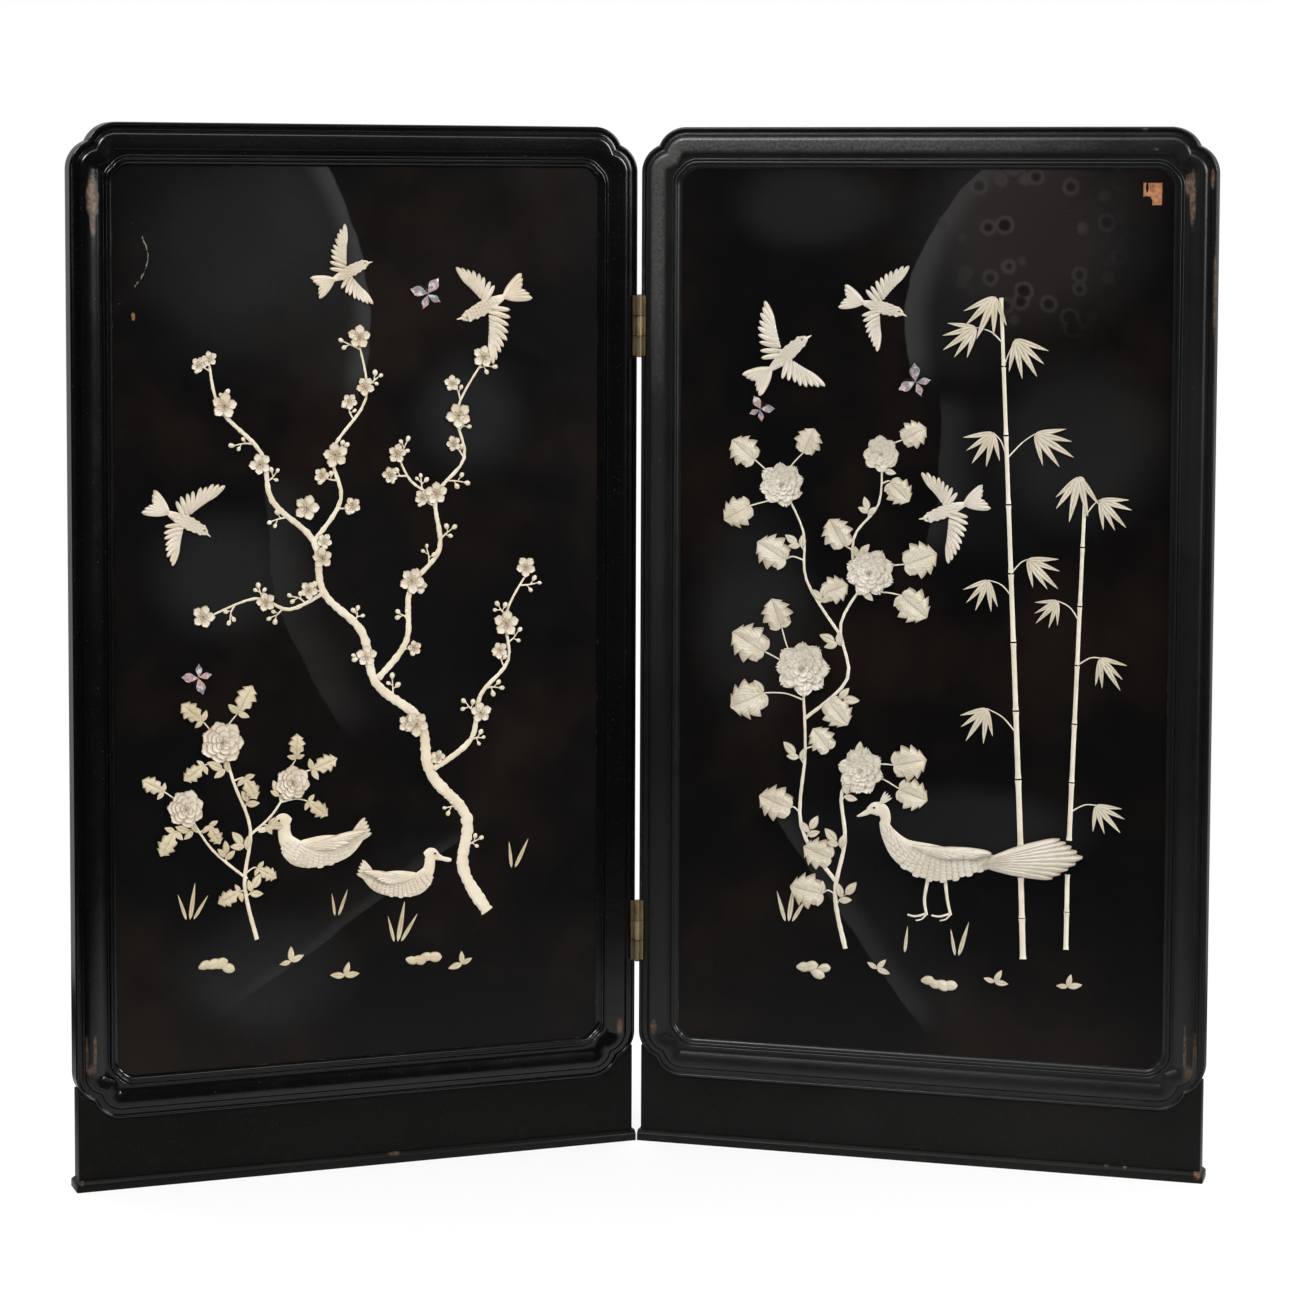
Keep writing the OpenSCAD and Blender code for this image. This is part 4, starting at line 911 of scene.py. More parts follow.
def stroke_tree():
    b, w, target = new_tree("carved_strokes", {
        "Spacing": "Float", "Height": "Float", "Knots": "Float", "Seed": "Float", "Finish": "Material"})
    curve = b.add("GeometryNodeMeshToCurve", None, {"Mesh": w["Geometry"]})
    even = b.add("GeometryNodeResampleCurve", {"mode": "LENGTH"}, {"Curve": curve, "Length": w["Spacing"]})
    place = b.add("GeometryNodeInputPosition")
    lump = b.add("ShaderNodeTexNoise", {"noise_dimensions": "4D"}, {
        "Vector": place, "W": w["Seed"], "Scale": 0.11, "Detail": 2.0})
    width = attribute(b, "width") * (0.5 + (lump - 0.5) * w["Knots"])
    ring = b.add("GeometryNodeCurvePrimitiveCircle", None, {"Resolution": 12, "Radius": 1.0})
    solid = b.add("GeometryNodeCurveToMesh", None, {
        "Curve": even, "Profile Curve": ring, "Scale": width, "Fill Caps": True})
    x, y, z = split(b, b.add("GeometryNodeInputPosition"))
    pressed = z * 0.62 / (1.0 + abs(z) * 0.62 / w["Height"])
    flat = b.add("GeometryNodeSetPosition", None, {
        "Geometry": solid, "Position": b.vector(x, y, pressed)})
    return close_tree(b, flat, w["Finish"], target)


laying, carving = scatter_tree(), stroke_tree()


def lay(template, points, finish, relief=1.0):
    """points: (x, y, z, turn in degrees, tilt in degrees, size in mm, width share)."""
    turn, tilt, size, wide = zip(*(p[3:] for p in points))
    mesh = new_mesh("points", [p[:3] for p in points], turn=map(radians, turn), tilt=map(radians, tilt),
                    size=size, wide=wide)
    obj = new_object("laid_" + template, mesh, finish)
    return run_tree(obj, laying, {"Template": blades[template], "Relief": relief, "Finish": finish})


def spline(points, steps=6):
    """Points of a smooth curve through the given ones, of any number of values each."""
    out = []
    for i in range(len(points) - 1):
        a, b, c, d = points[max(i - 1, 0)], points[i], points[i + 1], points[min(i + 2, len(points) - 1)]
        for k in range(steps):
            t = k / steps
            out.append(tuple(0.5 * (2 * q + (r - p) * t + (2 * p - 5 * q + 4 * r - s) * t * t
                                    + (3 * q - p - 3 * r + s) * t ** 3) for p, q, r, s in zip(a, b, c, d)))
    return out + [tuple(map(float, points[-1]))]


def strokes(lines, finish, height=4.0, knots=0.0, seed=1.0, spacing=1.6):
    """lines: lists of (x, y, z, width)."""
    verts, edges, widths = [], [], []
    for line in lines:
        first = len(verts)
        verts += [p[:3] for p in line]
        widths += [max(0.4, p[3]) for p in line]
        edges += [(first + i, first + i + 1) for i in range(len(line) - 1)]
    obj = new_object("strokes", new_mesh("lines", verts, edges, width=widths), finish)
    return run_tree(obj, carving, {
        "Spacing": spacing, "Height": height, "Knots": knots, "Seed": seed, "Finish": finish})


def assemble(name, side, pieces, replaced):
    """Joins carved pieces into one mesh on the face of a board."""
    work = bmesh.new()
    materials = []
    for piece in pieces:
        mesh = piece.data
        material = mesh.materials[mesh.polygons[0].material_index]
        if material not in materials:
            materials.append(material)
        for polygon in mesh.polygons:
            polygon.material_index = materials.index(material)
        work.from_mesh(mesh)
        bpy.data.objects.remove(piece)
    mesh = poured(name, work)
    obj = in_scene(name, mesh)
    for material in materials:
        mesh.materials.append(material)
    mesh.transform(board_matrix(side))
    smooth_faces(mesh, 50)
    print(name, len(mesh.polygons), "faces")
    return dress(obj, side, replaced)


def assemble_all(side, pieces):
    """pieces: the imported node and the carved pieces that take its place, by the new piece's name."""
    for name, (node, made) in pieces.items():
        assemble(name, side, made, node)

# %% [markdown]
# The engraver's fine lines follow each blade: veins on leaves, barbs on feathers, thin rays on
# petals. They are too fine to model, so they are drawn on each blade's UV map, where x runs along
# the blade. The lines darken the colour a little, as settled dirt does, and dent the surface.

# %% Engraved finishes
def engraved(name, pale, deep, stain, line_kind):
    def build(b):
        u, v, _ = split(b, b.add("ShaderNodeUVMap", {"uv_map": "UVMap"}))
        off = abs(v - 0.5)
        if line_kind == "veins":
            wave = b.math("SINE", (u - off * 0.9) * 62.0)
            lines = b.ramp(wave, 0.72, 0.98) + (1.0 - b.ramp(off, 0.012, 0.04))
        elif line_kind == "barbs":
            wave = b.math("SINE", (u - off * 1.1) * 120.0)
            lines = b.ramp(wave, 0.5, 0.95) * 0.8 + (1.0 - b.ramp(off, 0.02, 0.05))
        else:
            wave = b.math("SINE", (v - 0.5) * (1.6 - u * 0.5) * 50.0)
            lines = b.ramp(wave, 0.6, 0.98) * b.ramp(u, 0.02, 0.2) * (1.0 - b.ramp(u, 0.6, 0.95))
        lines = b.clamp(lines)
        rim = b.math("MAXIMUM", b.ramp(off, 0.36, 0.5), b.ramp(u, 0.9, 1.0) * (0.3 if line_kind == "veins" else 0.7))
        cloud, grain, colour_now = bone_ground(b, pale, deep, stain, (0.4, 0.49), 0.6)
        cut = b.math("MAXIMUM", lines * 0.4, rim * 0.6)
        return ({"Base Color": b.blend(cut, colour_now, stain), "Specular IOR Level": 0.35,
                 "Roughness": b.clamp(0.5 + (cloud - 0.5) * 0.15 + lines * 0.1)},
                [(grain, 0.2, 0.0003), (1.0 - lines, 0.35, 0.0004)])
    return finish_of(name, build)


TONES = {"left": (srgb(222, 213, 197), srgb(206, 193, 170), srgb(132, 106, 78)),
         "right": (srgb(223, 216, 204), srgb(209, 200, 183), srgb(138, 116, 92))}
LEAF_TONES = {"left": (srgb(208, 196, 168), srgb(188, 173, 141), srgb(110, 86, 60)),
              "right": (srgb(214, 206, 189), srgb(196, 185, 162), srgb(122, 100, 76))}
petal_bone = {s: engraved("bone_petal_" + s, *TONES[s], "rays") for s in SIDES}
feather_bone = {s: engraved("bone_feather_" + s, *TONES[s], "barbs") for s in SIDES}
vein_bone = {s: engraved("bone_vein_" + s, *LEAF_TONES[s], "veins") for s in SIDES}
horn = finish_of("horn_dark", lambda b: ({
    "Base Color": b.blend(b.noise(b.coords(), 200.0), srgb(36, 26, 20), srgb(60, 44, 32)),
    "Roughness": 0.25}, []))

# %% [markdown]
# A flower is whorls of petals, the largest lowest, each whorl turned by half a step and tilted a
# little more. A sprig is a thin stalk with leaves to both sides. These two rules, with seeded
# random turns, make all the plants.

# %% Flowers, buds and sprigs
def flower(rng, x, y, r, turn, whorls, jitter=4.0):
    """Petal points. whorls: (petals, start share, length share, tilt, height, width share)."""
    out = []
    for k, (count, start, share, tilt, z, wide) in enumerate(whorls):
        for i in range(count):
            a = turn + 360 * (i + 0.5 * (k % 2)) / count + rng.uniform(-jitter, jitter)
            out.append((*onward(x, y, r * start, a), z + 0.25 * (i % 2), a, tilt,
                        r * share * rng.uniform(0.94, 1.05), wide))
    return out


PLUM = [(5, 0.06, 0.92, 2, 0.5, 1.0)]
PLUM_EYE = [(9, 0.05, 0.42, 6, 1.8, 0.7)]
CAMELLIA = [(7, 0.2, 0.8, 2, 0.3, 1.15), (6, 0.13, 0.68, 4, 1.3, 1.15), (5, 0.07, 0.52, 7, 2.3, 1.2),
            (4, 0.02, 0.34, 12, 3.2, 1.25)]
CAMELLIA_EYE = [(11, 0.04, 0.5, 10, 4.0, 0.6)]
PEONY = [(8, 0.2, 0.8, 2, 0.3, 1.2), (7, 0.14, 0.7, 3, 1.1, 1.2), (7, 0.1, 0.56, 5, 1.9, 1.2),
         (6, 0.06, 0.43, 8, 2.7, 1.25), (5, 0.03, 0.3, 12, 3.4, 1.3)]
PEONY_EYE = [(11, 0.0, 0.6, 12, 4.6, 0.8)]


def flowers(places, r, whorls, jitter=4.0):
    """places: (x, y, size share, turn)."""
    return [p for x, y, s, t in places for p in flower(rng, x, y, r * s, t, whorls, jitter)]


def leaves_at(places, z, tilt, size, wide):
    return [(x, y, z, t, tilt, size * s, wide) for x, y, s, t in places]


def onward(x, y, length, a):
    """The point at a distance from another, in a direction in degrees."""
    return x + length * cos(radians(a)), y + length * sin(radians(a))


def beside(line, first, step, lean):
    """Where things stand to the left and right of a stroke in turn: (x, y, direction)."""
    out = []
    for n, i in enumerate(range(first, len(line) - 1, step)):
        dx, dy = line[i + 1][0] - line[i - 1][0], line[i + 1][1] - line[i - 1][1]
        side = 1 if n % 2 else -1
        a = degrees(atan2(dy, dx)) + side * lean
        w = line[i][3] / 2 * 0.6
        out.append((*onward(line[i][0], line[i][1], w, a), a))
    return out


def stalk(x, y, a, length, w0=2.4, w1=1.4, bend=12):
    mid, tip = onward(x, y, 0.5 * length, a + bend), onward(x, y, length, a)
    return spline([(x, y, 0, w0), (*mid, 0, (w0 + w1) / 2), (*tip, 0, w1)], 4)


def sprig(rng, x, y, a, length, leaves, size):
    """A stalk with leaves in pairs and one at its tip: its line and its leaf points."""
    line = stalk(x, y, a, length, 2.4, 1.5, rng.uniform(-14, 14))
    out = []
    for k in range(leaves - 1):
        at = line[int(len(line) * (0.35 + 0.5 * k / max(1, leaves - 1)))]
        d = a + (52 if k % 2 else -52) + rng.uniform(-9, 9)
        out.append((at[0], at[1], 0.5, d, 2, size * rng.uniform(0.8, 1.0), 1.1))
    out.append((line[-1][0], line[-1][1], 0.6, a + rng.uniform(-12, 12), 2, size * rng.uniform(1.0, 1.15), 1.1))
    return line, out

# %% The plants of the left panel
def wide_lines(*branches):
    """Strokes from (points, width at the foot, width at the tip)."""
    out = []
    for points, w0, w1 in branches:
        curve = spline([(*p, 0.0) for p in points], 5)
        n = len(curve) - 1
        out.append([(x, y, 0.0, w0 + (w1 - w0) * i / n) for i, (x, y, _) in enumerate(curve)])
    return out


rng = random.Random(11)
plums = [(-226, 345, 1, 10), (-168, 250, 0.85, 40), (-92, 178, 1, 0), (-66, 96, 0.8, 25), (-4, 452, 0.9, 15),
         (6, 372, 0.75, 50), (-44, 262, 1, 30), (206, 418, 0.85, 5), (164, 322, 1, 45), (126, 196, 0.9, 20),
         (84, 54, 1, 60), (-262, 8, 0.9, 0), (-160, 28, 0.75, 33), (246, -22, 1, 12), (280, 70, 0.8, 48),
         (202, -168, 0.85, 22), (92, -182, 1, 52), (8, -66, 0.85, 18), (60, 262, 0.75, 8), (-250, 420, 0.6, 30)]
boughs = wide_lines(
    ([(214, -500), (172, -425), (178, -340), (116, -264), (98, -176), (24, -112), (0, -26), (-64, 40),
      (-80, 124), (-148, 190), (-166, 268), (-232, 338), (-250, 410)], 22, 4),
    ([(122, -258), (186, -212), (202, -140), (250, -84), (246, -8), (284, 62)], 10, 3),
    ([(28, -104), (76, -44), (82, 40), (132, 104), (126, 190), (174, 252), (162, 330), (206, 410)], 11, 3),
    ([(-58, 42), (-120, 14), (-176, 34), (-256, 6)], 7, 3),
    ([(-80, 122), (-34, 190), (-48, 268), (8, 352), (-4, 444)], 8, 3),
    ([(128, 188), (84, 216), (60, 262)], 5, 3))
camellias = [(-232, -196, 1, 0), (-292, -300, 0.85, 20), (-116, -268, 0.8, 40)]
camellia_stems = wide_lines(
    ([(-176, -520), (-196, -430), (-186, -340), (-214, -260), (-230, -200)], 7, 4),
    ([(-192, -420), (-250, -368), (-290, -304)], 5, 3),
    ([(-188, -350), (-150, -318), (-120, -272)], 5, 3))
camellia_leaves = [(-206, -150, 1, 62), (-264, -160, 0.9, 140), (-262, -232, 0.8, 214), (-196, -256, 0.8, 300),
                   (-328, -270, 0.8, 150), (-310, -336, 0.9, 238), (-254, -330, 0.7, 300), (-84, -248, 0.9, 22),
                   (-110, -228, 0.8, 88), (-90, -300, 0.8, 322), (-204, -440, 0.8, 205), (-174, -404, 0.7, 330)]
left_grass = [(60, -540, 0.9, 80), (66, -540, 0.7, 58), (54, -540, 0.6, 104), (-40, -490, 0.6, 70),
              (-46, -490, 0.5, 98), (-286, -480, 0.8, 82), (-292, -480, 0.6, 108), (-280, -480, 0.6, 58),
              (262, -430, 0.7, 64), (256, -430, 0.6, 96)]


def pair_up(rng, leaves, size):
    """Two small leaflets at the foot of each large leaf."""
    return [(x, y, 0.9, a + t + rng.uniform(-10, 10), 3, size * s * rng.uniform(0.85, 1.1), 1.1)
            for x, y, s, a in leaves for t in (-78, 78)]


def footstalks(lines, leaves):
    """A thin stalk from the foot of each leaf to the nearest point of the plant below it."""
    out = []
    for x, y, _, a in leaves:
        px, py = min(((p[0], p[1]) for line in lines for p in line),
                     key=lambda p: hypot(p[0] - x, p[1] - y) + 0.8 * max(0, p[1] - y))
        mid = ((x + px) / 2 - 6 * sin(radians(a)), (y + py) / 2 + 6 * abs(cos(radians(a))))
        out.append(spline([(px, py, 0, 3.0), (*mid, 0, 2.4), (x, y, 0, 2.2), (*onward(x, y, 7, a), 0, 1.6)], 5))
    return out


def budding(lines, rules):
    """Twigs beside the given strokes, each with a small flower or a bud at its tip and two side buds.

    rules: (first point, step) for each stroke. Returns twigs, buds and the places of the blooms.
    """
    twigs, buds, small_blooms = [], [], []
    for line, (first, step) in zip(lines, rules):
        for x, y, a in beside(line, first, step, 52):
            twig = stalk(x, y, a, 24 * rng.uniform(0.6, 1.3), 3.0, 1.8, rng.uniform(-14, 14))
            twigs.append(twig)
            blooming = rng.random() < 0.45
            if blooming:
                small_blooms.append((twig[-1][0], twig[-1][1], rng.uniform(0.55, 0.72), rng.uniform(0, 72)))
            for at, lean in ((twig[-1], 0), (twig[5], 55), (twig[3], -60))[blooming:]:
                d = a + lean + rng.uniform(-12, 12)
                if lean:
                    short = stalk(at[0], at[1], d, rng.uniform(4, 7), 2.0, 1.6)
                    twigs.append(short)
                    at = short[-1]
                buds.append((at[0], at[1], 0.5, d, 3, rng.uniform(7.5, 11), 1.05))
    return twigs, buds, small_blooms


def leafing(lines, rules):
    """Sprigs of three leaves beside the given strokes. rules: (first point, step, length, leaf size)."""
    twigs, leaves = [], []
    for line, (first, step, length, size) in zip(lines, rules):
        for x, y, a in beside(line, first, step, 48):
            stem, out = sprig(rng, x, y, a, length * rng.uniform(0.8, 1.25), 3, size)
            twigs.append(stem)
            leaves += out
    return twigs, leaves


twigs, buds, small_plums = budding(boughs, [(7, 4), (5, 3), (4, 3), (3, 3), (4, 3), (3, 3)])
c_twigs, c_leaves = leafing(camellia_stems, [(4, 4, 16, 24), (3, 4, 14, 21), (3, 4, 14, 21)])


def fallen(rng, places):
    """Small fallen leaves in pairs, and low rounded stones, near the foot of the picture."""
    leaves, stones = [], []
    for x, y, kind in places:
        if kind == "leaf":
            a = rng.uniform(-25, 25)
            leaves += [(x, y, 0.4, a + t, 2, rng.uniform(19, 25), 0.9) for t in (4, 172, 70)]
        else:
            for i in range(4):
                stones.append((x - 22 + 12 * i, y + rng.uniform(-5, 5), 0.3 + 0.3 * (i % 2), rng.uniform(-25, 25), 2,
                               rng.uniform(20, 27), 0.95))
    return leaves, stones


left_leaves_down, left_stones = fallen(rng, [
    (-120, -560, "leaf"), (170, -585, "leaf"), (-250, -560, "stone"), (96, -570, "stone"), (-30, -590, "leaf")])
bone_l, petal_l, vein_l = bone["left"], petal_bone["left"], vein_bone["left"]
assemble_all("left", {
    "left_plum_boughs": ("left_inlay_boughs", [
        strokes(boughs, bone_l, 4.6, 0.5, 3.0),
        strokes(twigs + camellia_stems + c_twigs + footstalks(camellia_stems, camellia_leaves), bone_l,
                3.0, 0.25, 5.0)]),
    "left_blossoms": ("left_inlay_blossoms", [
        lay("round_petal", flowers(plums + small_plums, 22, PLUM), petal_l),
        lay("stamen", flowers(plums + small_plums, 22, PLUM_EYE), bone_l),
        lay("round_petal", flowers(camellias, 36, CAMELLIA), petal_l, 0.8),
        lay("stamen", flowers(camellias, 18, CAMELLIA_EYE), bone_l),
        lay("bud", buds, bone_l)]),
    "left_leaves": ("left_inlay_leaves", [
        lay("lobed_leaf", leaves_at(camellia_leaves, 0.5, 2, 50, 1.0), vein_l),
        lay("leaflet", c_leaves + pair_up(rng, camellia_leaves, 21), vein_l),
        lay("bamboo_leaf", leaves_at(left_grass, 0.3, 1, 74, 0.7), vein_l),
        lay("leaflet", left_leaves_down, vein_l), lay("bud", left_stones, vein_l, 0.5)]),
})

# %% The plants of the right panel
rng = random.Random(23)
peonies = [(-196, -96, 1, 0), (-84, 66, 0.9, 20), (-232, 208, 0.82, 10), (-96, -262, 0.86, 30), (-66, 262, 0.66, 45)]
peony_stems = wide_lines(
    ([(-120, -560), (-138, -470), (-122, -380), (-128, -300), (-96, -262)], 8, 5),
    ([(-136, -450), (-196, -360), (-190, -230), (-196, -110)], 7, 4),
    ([(-192, -180), (-120, -110), (-132, -20), (-84, 60)], 6, 4),
    ([(-132, -40), (-190, 50), (-196, 130), (-232, 204)], 5, 3),
    ([(-104, 30), (-112, 120), (-70, 180), (-66, 256)], 5, 3))
peony_leaves = [(-262, -70, 1, 150), (-262, -140, 1, 205), (-150, -150, 0.8, 310), (-232, -28, 0.8, 110),
                (-24, 82, 0.9, 20), (-30, 30, 0.9, 320), (-128, 110, 0.8, 120), (-280, 248, 0.8, 140),
                (-196, 262, 0.7, 66), (-288, 170, 0.8, 210), (-30, 286, 0.7, 28), (-50, 214, 0.7, 316),
                (-40, -250, 0.9, 12), (-30, -290, 0.8, 340), (-150, -228, 0.7, 130), (-160, -470, 0.9, 170),
                (-146, -410, 0.8, 160), (-216, -330, 0.9, 160), (-226, 84, 0.9, 150), (-160, 30, 0.7, 20)]
culms = [((176, -560), (171, -424), 11, 2), ((170, -376), (128, 520), 10.5, 8),
         ((246, -540), (247, -415), 9, 2), ((249, -361), (268, 214), 9, 6)]
bamboo_sprays = [(118, 520, 250, 1), (88, 470, 214, 0.9), (152, 452, 300, 1), (186, 300, 330, 1), (118, 300, 236, 0.9),
                 (176, 96, 322, 0.9), (112, 60, 250, 0.8), (258, 232, 262, 1), (292, 196, 318, 0.9),
                 (226, 30, 228, 0.7), (296, -60, 300, 0.8), (112, -150, 240, 0.9), (292, -300, 310, 0.8)]
right_grass = [(-216, -520, 0.9, 82), (-222, -520, 0.7, 106), (-210, -520, 0.7, 60), (70, -560, 0.8, 74),
               (64, -560, 0.6, 100), (-20, -560, 0.6, 84)]


def between(a, c, t):
    return tuple(p + (q - p) * t for p, q in zip(a, c))


CULM_STEPS = 14


def culm_lines(foot, head, w, joints):
    """Each joint of a bamboo culm is a stroke that swells at its two ends."""
    out = []
    for i in range(joints):
        a, c = (between(foot, head, t) for t in (i / joints, (i + 1) / joints))
        thin = w * (1 - 0.05 * i)
        out.append([(*between(a, c, t), 0.0, thin * (0.86 + 0.2 * midrib(min(t, 1 - t), 16)))
                    for t in (0.012 + 0.976 * j / CULM_STEPS for j in range(CULM_STEPS + 1))])
    return out


def culm_twigs():
    """A twig from the culm to each spray of leaves."""
    out = []
    for x, y, _, _ in bamboo_sprays:
        near = min((between(foot, head, k / 24) for foot, head, _, _ in culms for k in range(25)),
                   key=lambda p: (p[0] - x) ** 2 + (p[1] - y + 26) ** 2)
        out.append(spline([(*near, 0, 2.6), ((near[0] + x) / 2 + 2, (near[1] + y) / 2 + 6, 0, 2.0),
                           (x, y, 0, 1.6)], 5))
    return out


p_twigs, p_leaves = leafing(peony_stems, [
    (4, 5, 20, 27), (4, 5, 18, 25), (3, 5, 16, 24), (3, 5, 15, 23), (3, 5, 14, 22)])
spray_leaves = [
    (x, y, 0.4 + 0.3 * i, a + 22 * (i - 2) + rng.uniform(-5, 5), 1,
     74 * s * (1 - 0.13 * abs(i - 2)) * rng.uniform(0.9, 1.05), 0.95) for x, y, a, s in bamboo_sprays for i in range(5)]
blooms = flowers(peonies, 45, PEONY, 7.0)
right_leaves_down, right_stones = fallen(rng, [
    (-66, -590, "leaf"), (250, -600, "leaf"), (130, -600, "leaf"), (-180, -600, "stone"), (30, -610, "stone")])
bone_r, petal_r, vein_r = bone["right"], petal_bone["right"], vein_bone["right"]
assemble_all("right", {
    "right_stems": ("right_inlay_stems", [
        strokes([line for c in culms for line in culm_lines(*c)], bone_r, 3.4, 0.0, 1.0),
        strokes(peony_stems + p_twigs + culm_twigs() + footstalks(peony_stems, peony_leaves), bone_r, 3.4, 0.3, 7.0)]),
    "right_blossoms": ("right_inlay_blossoms", [
        lay("ruffled_petal", blooms, petal_r, 0.7), lay("stamen", flowers(peonies, 12, PEONY_EYE), bone_r)]),
    "right_leaves": ("right_inlay_leaves", [
        lay("broad_leaf", leaves_at(peony_leaves, 0.5, 1.5, 62, 1.0), vein_r),
        lay("leaflet", p_leaves + pair_up(rng, peony_leaves, 24), vein_r),
        lay("bamboo_leaf", spray_leaves + leaves_at(right_grass, 0.3, 1, 74, 0.7), vein_r, 1.2),
        lay("leaflet", right_leaves_down, vein_r), lay("bud", right_stones, vein_r, 0.5)]),
})

# %% [markdown]
# A carved bird is a low body with feathers laid on it like roof tiles, from the tail forward, so
# that each row covers the roots of the row behind. The body is a stroke whose width swells and
# narrows; wings and tail are fans of the same feather blade.

# %% Birds
def moved(points, x, y, size, a, flip=False, stroke=False):
    """Places blade points, or the points of a stroke, that are drawn about the origin."""
    c, s, m = cos(radians(a)), sin(radians(a)), -1 if flip else 1
    out = []
    for p in points:
        px, py = p[0] * m * size, p[1] * size
        rest = list(p[2:])
        if stroke:
            rest[1] *= size
        else:
            rest[1] = (180 - rest[1] if flip else rest[1]) + a
            rest[3] *= size
        out.append((x + px * c - py * s, y + px * s + py * c, *rest))
    return out


def placed(lines, feathers, scales, eye, x, y, size=1, a=0, flip=False):
    """A bird's strokes, feathers, scales and eye, at its place on the board."""
    return ([moved(line, x, y, size, a, flip, True) for line in lines],
            *(moved(points, x, y, size, a, flip) for points in (feathers, scales, [eye])))


def feather_rows(rng, start, stop, rows):
    """Feathers rooted along the line from start to stop.

    rows: (count, back-off, length, first turn, last turn, height).
    """
    out = []
    for count, back, length, t0, t1, z in rows:
        for i in range(count):
            k = i / max(1, count - 1)
            turn = t0 + (t1 - t0) * k + rng.uniform(-2, 2)
            out.append((*onward(*between(start, stop, k), -back, turn), z + 0.12 * (i % 2), turn, 2,
                        length * (0.9 + 0.16 * k) * rng.uniform(0.96, 1.04), 0.8 if length < 45 else 0.6))
    return out


def tiles(rng, spine, pitch, size, heading, z):
    """Small scales in staggered rows over a body. spine: (x, y, width)."""
    out, far, row = [], 0.0, 0
    line = spline(spine, 8)
    for a, c in zip(line, line[1:]):
        far += dist(a[:2], c[:2])
        if far < pitch:
            continue
        far, row = 0.0, row + 1
        d = atan2(c[1] - a[1], c[0] - a[0])
        half = a[2] / 2 * 0.8
        n = max(1, int(2 * half / (size * 0.52)))
        for i in range(n + 1):
            v = -half + 2 * half * (i + 0.5 * (row % 2)) / n
            if abs(v) > half * 1.02:
                continue
            lift = 0.62 * sqrt(max(0.0, (a[2] / 2) ** 2 - v * v))
            lift = lift / (1 + lift / z) + 0.15
            out.append((a[0] - v * sin(d), a[1] + v * cos(d), lift, degrees(d) + heading - v / half * 10,
                        3, size * rng.uniform(0.94, 1.06), 1.0))
    return out


def smooth_stroke(points, steps=5):
    """points: (x, y, width), all at the board's face."""
    return spline([(x, y, 0, w) for x, y, w in points], steps)


def flying_bird(rng, x, y, size, a):
    body = smooth_stroke([(-40, 0, 5), (-24, 0, 15), (2, 1, 23), (26, 2, 19), (36, 2, 16), (44, 1, 8)])
    beak = [(43, 1, 0.6, 5), (53, -1, 0.6, 1.2)]
    feathers = feather_rows(rng, (-4, 5), (16, 52), [
        (9, 0, 40, 148, 72, 1.0), (8, 0, 24, 150, 84, 2.0), (7, 1, 13, 152, 92, 2.8)])
    feathers += feather_rows(rng, (0, -5), (10, -40), [
        (8, 0, 38, 214, 282, 0.8), (7, 0, 22, 212, 272, 1.8), (6, 1, 12, 210, 266, 2.6)])
    feathers += [(-34, 0, 0.6 + 0.2 * (3 - abs(i)), 180 + i * 9, 1, 34 + 5 * abs(i), 0.9) for i in range(-3, 4)]
    scales = tiles(rng, [(38, 2, 12), (24, 2, 18), (2, 1, 22), (-18, 0, 16), (-34, 0, 8)], 5.0, 8.0, 180, 4.0)
    return placed([body, beak], feathers, scales, (35, 4.0, 3.0, 0, 0, 3.6, 1.2), x, y, size, a)


def duck(rng, x, y, size, flip):
    lines = [smooth_stroke([(-48, 14, 26), (-24, 0, 44), (14, 2, 50), (52, 8, 38), (86, 30, 10)]),
             smooth_stroke([(-34, 8, 34), (-46, 22, 25), (-50, 36, 21), (-50, 48, 20)]),
             smooth_stroke([(-66, 50, 13), (-60, 52, 22), (-51, 54, 26), (-41, 50, 17)]),
             spline([(-93, 41, 0.3, 5), (-86, 42, 0.3, 9), (-75, 45, 0.3, 9), (-63, 50, 0.3, 15)], 4)]
    feathers = feather_rows(rng, (-16, 12), (24, 20), [
        (8, 0, 58, -8, 10, 3.2), (7, 0, 38, -10, 10, 3.8), (6, 0, 22, -12, 10, 4.3)])
    feathers += [(62, 12 + i * 3, 1.4 + 0.2 * i, 24 + i * 7, 1, 36, 0.8) for i in range(5)]
    scales = tiles(rng, [(-54, 20, 24), (-34, 4, 38), (-4, -6, 42), (28, -4, 36), (56, 6, 22)], 7.5, 10.5, 0, 4.0)
    return placed(lines, feathers, scales, (-62, 56, 3.4, 0, 0, 4.6, 1.2), x, y, size, 0, flip)


